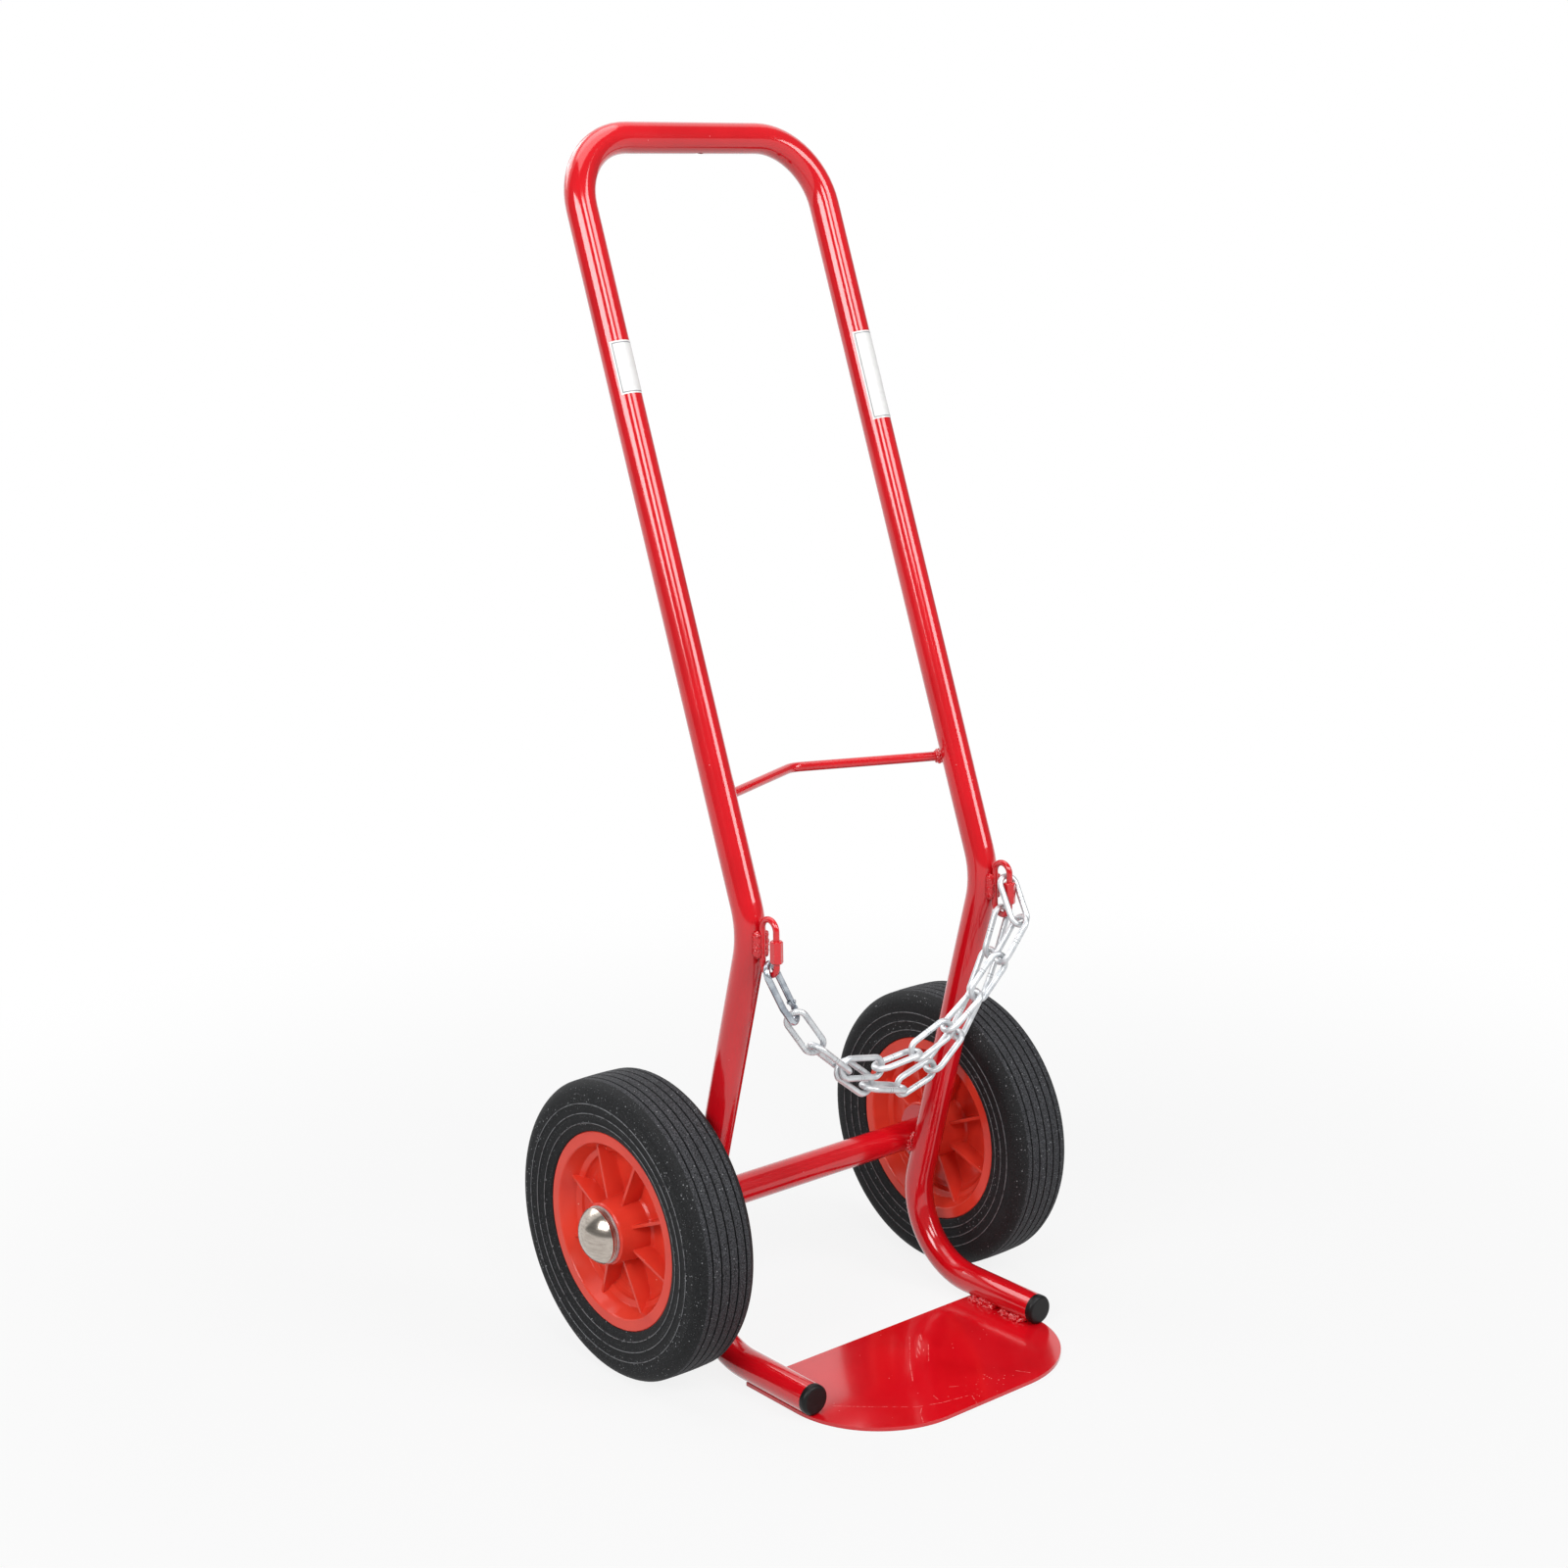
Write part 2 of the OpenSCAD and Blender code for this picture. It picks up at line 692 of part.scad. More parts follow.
// Half width of the tyre's sidewall at a radius
function sidewall(r) =
    let (in = max(0, (sidewall_r - r) / (sidewall_r - lip_r)))
    tyre_w / 2 - sidewall_draw * in * in;

// One side of the tyre: from its seat over the ridges of the sidewall to the end of the shoulder
function tyre_side() =
    let (
        steps = 10,
        ridges = [
            for (i = [0 : ridge_count - 1], m = [-1, 0, 1])
                let (r = lip_r + ridge_step * (i + 0.9) + m * ridge_h)
                [r, sidewall(r) + (m == 0 ? ridge_h : 0)]
        ],
        shoulder = [
            for (i = [0 : steps])
                let (a = shoulder_arc * i / steps)
                [
                    sidewall_r + (tread_edge_r - sidewall_r) * sin(a) / sin(shoulder_arc),
                    tyre_w / 2 - (tyre_w - tread_w) / 2 * (1 - cos(a)) / (1 - cos(shoulder_arc))
                ]
        ]
    )
    concat(
        [
            [seat_r + seat_gap, rim_w / 2 - 2 * lip_t], [lip_r + seat_gap, rim_w / 2 - lip_t],
            [lip_r + seat_gap, sidewall(lip_r) - 1], [lip_r + 1, sidewall(lip_r)]
        ],
        ridges,
        shoulder
    );

// Grooves round the crowned tread, from one shoulder to the other
function tread_r(z) = tyre_r - tread_crown * pow(2 * z / tread_w, 2);
function tread() = [
    for (i = [1 : groove_count])
        let (z = tread_w / 2 - tread_w / groove_count * (i - 0.5))
        each [
            [tread_r(z), z + groove_w / 2], [tread_r(z) - groove_depth, z + groove_w / 4],
            [tread_r(z) - groove_depth, z - groove_w / 4], [tread_r(z), z - groove_w / 2]
        ]
];
function other_side(p) = [for (i = [len(p) - 1 : -1 : 0]) [p[i][0], -p[i][1]]];

module tyre(side) {
    color(rubber_black) at_wheel(side, wheel_track / 2)
        rotate_extrude() polygon(concat(tyre_side(), tread(), other_side(tyre_side())));
}

// Rim: outline of the hub, web, barrel and lips, from the bore to the tyre's seat
function barrel_inner_r(z) =
    let (root = seat_r - barrel_t, top = lip_r - lip_w)
    root + (top - root) * (z - web_t / 2) / (rim_w / 2 - web_t / 2);
function rim_outline() =
    let (
        root = seat_r - barrel_t,
        hub_r = hub_d / 2,
        fillet = [
            for (a = [0 : 15 : 75])
                [root - web_fillet * (1 - sin(a)), web_t / 2 + web_fillet * (1 - cos(a))]
        ]
    )
    concat(
        [
            [hub_bore_r, hub_l / 2], [hub_r - hub_edge, hub_l / 2], [hub_r, hub_l / 2 - hub_edge],
            [hub_r + hub_draft, web_t / 2 + hub_draft], [hub_r + 2 * hub_draft, web_t / 2]
        ],
        fillet,
        [
            [barrel_inner_r(web_t / 2 + web_fillet), web_t / 2 + web_fillet],
            [lip_r - lip_w, rim_w / 2 - lip_round], [lip_r - lip_w + lip_round, rim_w / 2],
            [lip_r - lip_round, rim_w / 2], [lip_r, rim_w / 2 - lip_round],
            [lip_r, rim_w / 2 - lip_t], [seat_r, rim_w / 2 - 2 * lip_t]
        ]
    );

module rim(side) {
    rib_hub = hub_l / 2 - rib_hub_drop;
    rib_rim = rim_w / 2 - rib_rim_drop;
    rib_end = barrel_inner_r(rib_rim) + 1;
    color(rim_red) at_wheel(side, wheel_track / 2)
        union() {
            rotate_extrude() polygon(concat(rim_outline(), other_side(rim_outline())));
            for (i = [0 : rib_count - 1])
                rotate([0, 0, 360 / rib_count * (i + 0.5)])
                    rotate([90, 0, 0])
                        linear_extrude(rib_t, center = true)
                            polygon([
                                [hub_d / 2 - 1, rib_hub], [rib_end, rib_rim],
                                [rib_end, -rib_rim], [hub_d / 2 - 1, -rib_hub]
                            ]);
        }
}

// Plain washer on the axle
module washer() {
    linear_extrude(washer_t) section(washer_d, (washer_d - axle_d) / 2 - seat_gap);
}

module inner_washer(side) { color(zinc) at_wheel(side, inner_washer_x) washer(); }
module outer_washer(side) { color(zinc) at_wheel(side, outer_washer_x) washer(); }

// Toothed ring that grips the axle's end inside the hub cap
module lock_ring(side) {
    outer_r = hub_cap_d / 2 - hub_cap_t - seat_gap;
    slot = 2;
    color(zinc) at_wheel(side, hub_cap_x + seat_gap)
        difference() {
            linear_extrude(lock_t) section(2 * outer_r, outer_r - axle_d / 2 - seat_gap);
            for (i = [0 : lock_teeth - 1])
                rotate([0, 0, 360 / lock_teeth * i])
                    translate([0, -slot / 2, -lock_t]) cube([axle_d / 2 + 5, slot, 3 * lock_t]);
        }
}

// Dome of the hub cap: arc points from the skirt to the middle
function dome(r, from, h) =
    let (big = (r * r + h * h) / (2 * h), open = asin(r / big))
    [for (i = [0 : 16]) [big * sin(open * (1 - i / 16)), from + h - big * (1 - cos(open * (1 - i / 16)))]];
// Lines rolled into the skirt of the hub cap, from its base up
function skirt_lines(r) =
    let (step = hub_cap_skirt / (cap_lines + 1))
    [
        for (i = [1 : cap_lines])
            each [
                [r, step * i - cap_line_w], [r - cap_line_depth, step * i - cap_line_w / 2],
                [r - cap_line_depth, step * i + cap_line_w / 2], [r, step * i + cap_line_w]
            ]
    ];
module hub_cap(side) {
    r = hub_cap_d / 2;
    rise = hub_cap_h - hub_cap_skirt;
    inner = dome(r - hub_cap_t, hub_cap_skirt, rise - hub_cap_t);
    color(polished) at_wheel(side, hub_cap_x)
        rotate_extrude()
            polygon(concat(
                [[r - hub_cap_t, 0], [r, 0]],
                skirt_lines(r),
                dome(r, hub_cap_skirt, rise),
                [for (i = [len(inner) - 1 : -1 : 0]) inner[i]]
            ));
}

// Places the snap hook, drawn from its top along X, between its two seats
module at_hook() {
    a = front_path[0];
    b = front_path[1];
    placed()
        translate((a + b) / 2)
            rotate([hook_twist, -fall(a, b), bearing(a, b)])
                rotate([0, 0, -hook_skew])
                    translate([-hook_l / 2, -hook_low_v / 2, 0]) children();
}

// Body of the hook: one bent wire from its nose to the tongue that the gate turns on
module hook_body() {
    bend = hook_bend_r * tan(hook_lean / 2);
    spine = hook_bend_u - hook_top_u - bend;
    slant_run = (hook_low_u + hook_low_r * sin(hook_lean) - hook_bend_u) / cos(hook_lean) - bend;
    tongue_end = hook_pivot + tongue_back;
    tongue_h = hook_wire - 2 * fork_clear;
    color(zinc) at_hook()
        difference() {
            union() {
                translate([hook_nose - gate_gap, hook_top_r, 0])
                    rotate([0, 0, 180])
                        bent_bar(
                            [
                                [hook_nose - gate_gap - hook_top_u, 180, hook_top_r, 0],
                                [spine, hook_lean, hook_bend_r, 0],
                                [slant_run, 180 - hook_lean, hook_low_r, 0],
                                [hook_low_u - tongue_end, 0, 0, 0]
                            ],
                            hook_wire
                        );
                translate([hook_pivot, hook_top_r, 0]) {
                    cylinder(d = tongue_h, h = tongue_t, center = true);
                    translate([0, -tongue_h / 2, -tongue_t / 2])
                        cube([tongue_back + 1, tongue_h, tongue_t]);
                }
            }
            translate([hook_pivot, hook_top_r, 0])
                cylinder(d = rivet_d + 2 * seat_gap, h = 2 * hook_wire, center = true);
        }
}

// Gate: a round bar whose fork straddles the hook's tongue
module hook_gate() {
    fork = tongue_t + 2 * fork_clear;
    fork_start = hook_pivot - hook_wire / 2 - fork_clear * 3;
    color(zinc) at_hook()
        difference() {
            union() {
                bar_run([hook_nose, hook_top_r], hook_pivot - hook_nose, hook_wire);
                intersection() {
                    bar_run([hook_pivot, hook_top_r], hook_wire, hook_wire);
                    translate([hook_pivot, hook_top_r, 0])
                        cylinder(d = hook_wire, h = 2 * hook_wire, center = true);
                }
            }
            translate([fork_start, hook_top_r - hook_wire, -fork / 2])
                cube([3 * hook_wire, 2 * hook_wire, fork]);
            translate([hook_pivot, hook_top_r, 0])
                cylinder(d = rivet_d + 2 * run_fit, h = 2 * hook_wire, center = true);
        }
}

module hook_rivet() {
    head_t = 0.5;
    head_gap = 0.2;
    color(zinc) at_hook()
        translate([hook_pivot, hook_top_r, 0]) {
            cylinder(d = rivet_d, h = hook_wire + 2 * head_gap, center = true);
            for (m = [0, 1]) mirror([0, 0, m])
                translate([0, 0, hook_wire / 2 + head_gap]) cylinder(d = rivet_d * 1.6, h = head_t);
        }
}

// Chain link between two seats, turned about its own length by a twist
module chain_link(a, b, twist) {
    color(zinc) placed()
        translate((a + b) / 2)
            rotate([twist, -fall(a, b), bearing(a, b)])
                bar_loop(chain_run, chain_r, chain_wire);
}

module chain_link_a() { chain_link(front_path[1], front_path[2], link_a_twist); }
module chain_link_b() { chain_link(front_path[2], front_path[3], link_b_twist); }

// Links of the front run: the first starts beside the rear run, the last lies on the sleeve nut
module front_link(i) {
    if (i == front_count)
        chain_link(
            collar_top + collar_dir * chain_wire / 2,
            collar_top + collar_dir * (chain_inner_l + chain_wire / 2), 0
        );
    else
        chain_link(
            front_path[i + 2] - (i == 1 ? fork_width * side_by_side : [0, 0, 0]),
            front_path[i + 3], front_twist + 90 * (i - 1)
        );
}

module rear_link(i) { chain_link(rear_path[i - 1], rear_path[i], rear_twist + 90 * (i - 1)); }

frame_tube();
toe_plate();
axle_tube();
axle_shaft();
rest_bar();
foot_welds();
axle_welds();
rest_bar_welds();
quick_link_welds();
for (s = SIDES) {
    end_cap(s);
    quick_link(s);
    sleeve_nut(s);
    tyre(s);
    rim(s);
    inner_washer(s);
    outer_washer(s);
    lock_ring(s);
    hub_cap(s);
}
hook_body();
hook_gate();
hook_rivet();
chain_link_a();
chain_link_b();
for (i = [1 : front_count])
    front_link(i);
for (i = [1 : rear_count])
    rear_link(i);
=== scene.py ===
"""Gas cylinder trolley: the finishes, the chain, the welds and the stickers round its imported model.

Lengths are in metres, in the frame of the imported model: Z is up, and the toe plate points to -Y.
"""

import functools
import json
import logging
import math
import random
from dataclasses import dataclass
from enum import Enum
from typing import Any, Iterable, Sequence

import bmesh
import bpy
import numpy as np
from bpy.types import ID, Material, Mesh, Node, NodeSocket, NodeTree, Object
from mathutils import Matrix, Vector

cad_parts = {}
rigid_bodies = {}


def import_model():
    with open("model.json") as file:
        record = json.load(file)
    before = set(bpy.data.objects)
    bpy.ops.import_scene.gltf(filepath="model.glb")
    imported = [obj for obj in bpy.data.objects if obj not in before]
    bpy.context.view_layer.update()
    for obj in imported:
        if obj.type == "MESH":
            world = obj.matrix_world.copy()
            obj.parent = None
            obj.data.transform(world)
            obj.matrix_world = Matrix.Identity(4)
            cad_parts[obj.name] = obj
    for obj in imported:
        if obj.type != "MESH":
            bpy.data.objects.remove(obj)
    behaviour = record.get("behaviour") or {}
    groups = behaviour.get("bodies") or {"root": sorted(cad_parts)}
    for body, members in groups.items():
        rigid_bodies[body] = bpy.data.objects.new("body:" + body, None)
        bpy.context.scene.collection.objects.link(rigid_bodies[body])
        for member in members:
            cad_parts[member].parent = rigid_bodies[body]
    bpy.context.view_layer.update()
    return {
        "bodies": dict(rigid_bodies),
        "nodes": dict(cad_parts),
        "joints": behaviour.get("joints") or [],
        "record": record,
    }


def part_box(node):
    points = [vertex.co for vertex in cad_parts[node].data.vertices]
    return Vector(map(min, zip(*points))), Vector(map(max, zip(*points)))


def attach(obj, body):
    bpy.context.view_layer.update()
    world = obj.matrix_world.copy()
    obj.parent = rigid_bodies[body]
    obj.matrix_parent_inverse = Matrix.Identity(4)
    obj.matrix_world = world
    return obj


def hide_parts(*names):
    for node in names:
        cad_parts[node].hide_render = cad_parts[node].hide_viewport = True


Colour = tuple[float, float, float]
Point = tuple[float, float]
Span = tuple[float, float]
Scratch = tuple[Point, Point, float]
Settings = dict[str, Any] | None
Sockets = dict[str | int, Any] | None

LOG = logging.getLogger("trolley")
MM = 0.001
LINK_PLACE = "link_place"
EDGE_AWAY = "edge_away"
WHITE: Colour = (1.0, 1.0, 1.0)
MERGE_DISTANCE = 0.002 * MM
POINT_DIGITS = 6


class Slot(Enum):
    """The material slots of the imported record."""

    RED_PAINT = "red_paint"
    RIM_RED = "rim_red"
    TYRE_RUBBER = "tyre_rubber"
    CAP_BLACK = "cap_black"
    POLISHED_CAP = "polished_cap"
    ZINC_PLATED = "zinc_plated"


class Body(Enum):
    """The bodies that carry pieces made here."""

    FRAME = "frame"
    CHAIN = "chain"


def srgb(red: int, green: int, blue: int) -> Colour:
    """Turns a screen colour into the linear one that shaders take.

    Args:
        red: Red, from 0 to 255.
        green: Green, from 0 to 255.
        blue: Blue, from 0 to 255.

    Returns:
        The linear colour.
    """
    shares = (red / 255, green / 255, blue / 255)
    return tuple(c / 12.92 if c <= 0.04045 else ((c + 0.055) / 1.055) ** 2.4 for c in shares)


class Value:
    """A socket of a node tree, with Python's operators for its maths."""

    def __init__(self, graph: "Graph", socket: NodeSocket) -> None:
        """Keeps the socket and the graph that it is in."""
        self.graph = graph
        self.socket = socket

    def _math(self, operation: str, first: Any, second: Any) -> "Value":
        """Adds one Math node."""
        return self.graph.add("ShaderNodeMath", {"operation": operation}, {0: first, 1: second})

    def __add__(self, other: Any) -> "Value":
        """Sum."""
        return self._math("ADD", self, other)

    __radd__ = __add__

    def __sub__(self, other: Any) -> "Value":
        """Difference."""
        return self._math("SUBTRACT", self, other)

    def __rsub__(self, other: Any) -> "Value":
        """Difference, from a number."""
        return self._math("SUBTRACT", other, self)

    def __mul__(self, other: Any) -> "Value":
        """Product."""
        return self._math("MULTIPLY", self, other)

    __rmul__ = __mul__

    def __pow__(self, other: Any) -> "Value":
        """Power."""
        return self._math("POWER", self, other)

    def __abs__(self) -> "Value":
        """Size without its sign."""
        return self._math("ABSOLUTE", self, 0.0)

    def __gt__(self, other: Any) -> "Value":
        """1 where it is the larger of the two, 0 elsewhere."""
        return self._math("GREATER_THAN", self, other)

    def larger(self, other: Any) -> "Value":
        """The larger of the two."""
        return self._math("MAXIMUM", self, other)

    def smaller(self, other: Any) -> "Value":
        """The smaller of the two."""
        return self._math("MINIMUM", self, other)

    def line(self, middle: float, half: float, core: float) -> "Value":
        """1 within half of a middle value, 0 farther off, where the core is the share that is full."""
        return abs(self - middle).ease(half, core * half)

    def ease(self, low: Any, high: Any) -> "Value":
        """Rises smoothly from 0 at low to 1 at high, or falls where low is the larger.

        Args:
            low: Value that gives 0.
            high: Value that gives 1.

        Returns:
            The eased value.
        """
        settings = {"interpolation_type": "SMOOTHSTEP"}
        sockets = {"Value": self, "From Min": low, "From Max": high}
        return self.graph.add("ShaderNodeMapRange", settings, sockets)


class Graph:
    """A node tree whose nodes are added in code."""

    def __init__(self, tree: NodeTree) -> None:
        """Empties the tree and keeps it."""
        self.tree = tree
        tree.nodes.clear()

    def fill(self, socket: NodeSocket, value: Any) -> None:
        """Links a value to a socket, or sets a constant on it.

        Args:
            socket: The socket to fill.
            value: A value of this tree, or a constant.
        """
        if isinstance(value, Value):
            self.tree.links.new(value.socket, socket)
        elif socket.type == "RGBA":
            socket.default_value = (*value, 1.0)
        else:
            socket.default_value = value

    def node(self, kind: str, settings: Settings = None, sockets: Sockets = None) -> Node:
        """Adds a node, with its settings first.

        Args:
            kind: The node's type.
            settings: The node's own properties.
            sockets: Values or links of its sockets.

        Returns:
            The node.
        """
        node = self.tree.nodes.new(kind)
        for name, value in (settings or {}).items():
            setattr(node, name, value)
        for name, value in (sockets or {}).items():
            self.fill(node.inputs[name], value)
        return node

    def add(
        self, kind: str, settings: Settings = None, sockets: Sockets = None, out: str | int = 0
    ) -> Value:
        """Adds a node for one of its outputs.

        Args:
            kind: The node's type.
            settings: The node's own properties.
            sockets: Values or links of its sockets.
            out: The output that is wanted.

        Returns:
            That output.
        """
        return Value(self, self.node(kind, settings, sockets).outputs[out])

    def parts(self, vector: Value) -> tuple[Value, ...]:
        """The X, Y and Z of a vector."""
        node = self.node("ShaderNodeSeparateXYZ", None, {0: vector})
        return tuple(Value(self, node.outputs[axis]) for axis in "XYZ")


class ShaderGraph(Graph):
    """A shader tree, of a material or of the world."""

    def seen(self) -> Value:
        """Tells the rays that show a surface from those that only light other ones.

        Returns:
            1 for a ray of the camera, of a reflection or through glass, 0 for others.
        """
        path = self.node("ShaderNodeLightPath")
        kinds = ("Camera", "Glossy", "Transmission")
        return functools.reduce(Value.larger, [Value(self, path.outputs[f"Is {k} Ray"]) for k in kinds])


@dataclass(frozen=True)
class Clouds:
    """A cloudy pattern: its finer octaves with their weight, and where patches of it fade in."""

    per_metre: float
    detail: float = 2.0
    weight: float = 0.5
    fade: Span = (0.0, 1.0)


@dataclass(frozen=True)
class Specks:
    """Round specks in a share of random cells, with a radius in cells and a core that is full."""

    per_metre: float
    size: float
    share: float
    core: float = 0.5
    weak_share: float = 0.9


class MaterialGraph(ShaderGraph):
    """A material round one Principled shader, on the object's own coordinates."""

    stroke_core = 0.3
    bevel_samples = 6

    def __init__(self, name: str) -> None:
        """Makes the material with its shader and output.

        Args:
            name: The material's name.
        """
        self.material = bpy.data.materials.new(name)
        self.material.use_nodes = True
        super().__init__(self.material.node_tree)
        self.output = self.node("ShaderNodeOutputMaterial")
        self.shader = self.node("ShaderNodeBsdfPrincipled")
        self.lit = Value(self, self.shader.outputs[0])
        self.show(self.lit)
        self.place = self.add("ShaderNodeTexCoord", out="Object")

    def show(self, surface: Value) -> None:
        """Sends a shader to the material's output."""
        self.fill(self.output.inputs["Surface"], surface)

    def stretched(self, turn: float, stretch: float) -> Value:
        """The object's coordinates, turned about Z and drawn out along the turned Y.

        Args:
            turn: Turn in degrees.
            stretch: How many times longer a pattern gets.

        Returns:
            The changed coordinates.
        """
        return self.add("ShaderNodeMapping", {"vector_type": "TEXTURE"}, {
            "Vector": self.place,
            "Rotation": (0.0, 0.0, math.radians(turn)),
            "Scale": (1.0, stretch, 1.0),
        })

    def clouds(self, pattern: Clouds, place: Value | None = None) -> Value:
        """Adds a cloudy pattern.

        Args:
            pattern: Its sizes.
            place: Coordinates, where they aren't the object's own.

        Returns:
            A value from 0 to 1.
        """
        return self.add("ShaderNodeTexNoise", None, {
            "Vector": self.place if place is None else place,
            "Scale": pattern.per_metre,
            "Detail": pattern.detail,
            "Roughness": pattern.weight,
        }, "Fac")

    def patches(self, pattern: Clouds, place: Value | None = None) -> Value:
        """Adds a cloudy pattern that is cut into soft patches by its fade."""
        return self.clouds(pattern, place).ease(*pattern.fade)

    def specks(self, pattern: Specks) -> Value:
        """Adds small round specks.

        Args:
            pattern: Their sizes.

        Returns:
            1 on a speck, 0 elsewhere.
        """
        sockets = {"Vector": self.place, "Scale": pattern.per_metre}
        cells = self.node("ShaderNodeTexVoronoi", None, sockets)
        away, colour = (Value(self, cells.outputs[name]) for name in ("Distance", "Color"))
        pick = self.add("ShaderNodeSeparateColor", None, {0: colour})
        picked = pick.ease(1 - pattern.share, 1 - pattern.share * pattern.weak_share)
        return away.ease(pattern.size, pattern.size * pattern.core) * picked

    def spot(self, middle: Point, inner: float, outer: float) -> Value:
        """A soft round spot in plan.

        Args:
            middle: Its X and Y.
            inner: Radius that it fills.
            outer: Radius at which it has faded.

        Returns:
            1 in the spot, 0 outside.
        """
        x, y, _ = self.parts(self.place)
        away = ((x - middle[0]) ** 2 + (y - middle[1]) ** 2) ** 0.5
        return away.ease(outer, inner)

    def stroke(self, start: Point, end: Point, half: float) -> Value:
        """A straight stroke in plan, with soft sides.

        Args:
            start: X and Y of one end.
            end: X and Y of the other end.
            half: Half of its width.

        Returns:
            1 on the stroke, 0 outside.
        """
        x, y, _ = self.parts(self.place)
        off_x, off_y = x - start[0], y - start[1]
        run_x, run_y = end[0] - start[0], end[1] - start[1]
        share = (off_x * run_x + off_y * run_y) * (1 / (run_x ** 2 + run_y ** 2))
        share = share.larger(0.0).smaller(1.0)
        away = ((off_x - share * run_x) ** 2 + (off_y - share * run_y) ** 2) ** 0.5
        return away.ease(half, self.stroke_core * half)

    def mix(self, share: Any, first: Any, second: Any) -> Value:
        """Mixes two colours.

        Args:
            share: Share of the second colour.
            first: The first colour.
            second: The second colour.

        Returns:
            The mixed colour.
        """
        sockets = {"Factor": share, "A": first, "B": second}
        return self.add("ShaderNodeMix", {"data_type": "RGBA"}, sockets, "Result")

    def soft_edges(self, radius: float) -> Value | None:
        """Normal that rounds the sharp edges of a solid, or nothing where the radius is 0."""
        settings = {"samples": self.bevel_samples}
        return self.add("ShaderNodeBevel", settings, {"Radius": radius}) if radius else None

    def bump(self, height: Value, depth: float, normal: Value | None = None) -> Value:
        """Normal of a surface with a relief.

        Args:
            height: Relief from 0 to 1.
            depth: Depth of the relief.
            normal: Normal that the relief lies on.

        Returns:
            The new normal.
        """
        sockets = {"Height": height, "Distance": depth}
        if normal is not None:
            sockets["Normal"] = normal
        return self.add("ShaderNodeBump", None, sockets)

    def finish(self, sockets: dict[str, Any]) -> Material:
        """Sets or links the shader's sockets.

        Args:
            sockets: Values or links by the socket's name.

        Returns:
            The finished material.
        """
        for name, value in sockets.items():
            self.fill(self.shader.inputs[name], value)
        return self.material


@dataclass(frozen=True)
class PowderCoat:
    """Glossy red powder coat with a fine orange-peel skin and dust nibs."""

    name: str = "red_powder_coat"
    colour: Colour = srgb(206, 13, 26)
    shade: Colour = srgb(194, 9, 21)
    tone: Clouds = Clouds(16.0, 3.0, fade=(0.35, 0.75))
    rubbed: Colour = srgb(236, 150, 148)
    nicks: Specks = Specks(210.0, 0.1, 0.05)
    rub_cover: float = 0.75
    rub_dulls: float = 0.3
    peel: Clouds = Clouds(420.0)
    peel_depth: float = 0.003 * MM
    nibs: Specks = Specks(110.0, 0.09, 0.12)
    nib_depth: float = 0.03 * MM
    haze: Clouds = Clouds(60.0, 3.0)
    haze_dulls: float = 0.04
    roughness: float = 0.11
    coat: float = 0.5
    coat_roughness: float = 0.08
    edge: float = 0.0

    def wear(self, graph: MaterialGraph) -> Value:
        """Where the coat is rubbed pale: a few nicks of dust and handling."""
        return graph.specks(self.nicks)

    def make(self) -> Material:
        """Builds the material.

        Returns:
            The material.
        """
        graph = MaterialGraph(self.name)
        wear = self.wear(graph)
        base = graph.mix(graph.patches(self.tone), self.colour, self.shade)
        skin = graph.bump(graph.clouds(self.peel), self.peel_depth, graph.soft_edges(self.edge))
        haze = self.haze_dulls * graph.clouds(self.haze)
        return graph.finish({
            "Base Color": graph.mix(wear * self.rub_cover, base, self.rubbed),
            "Roughness": self.roughness + haze + self.rub_dulls * wear,
            "Normal": graph.bump(graph.specks(self.nibs), self.nib_depth, skin),
            "Coat Weight": self.coat,
            "Coat Roughness": self.coat_roughness,
        })


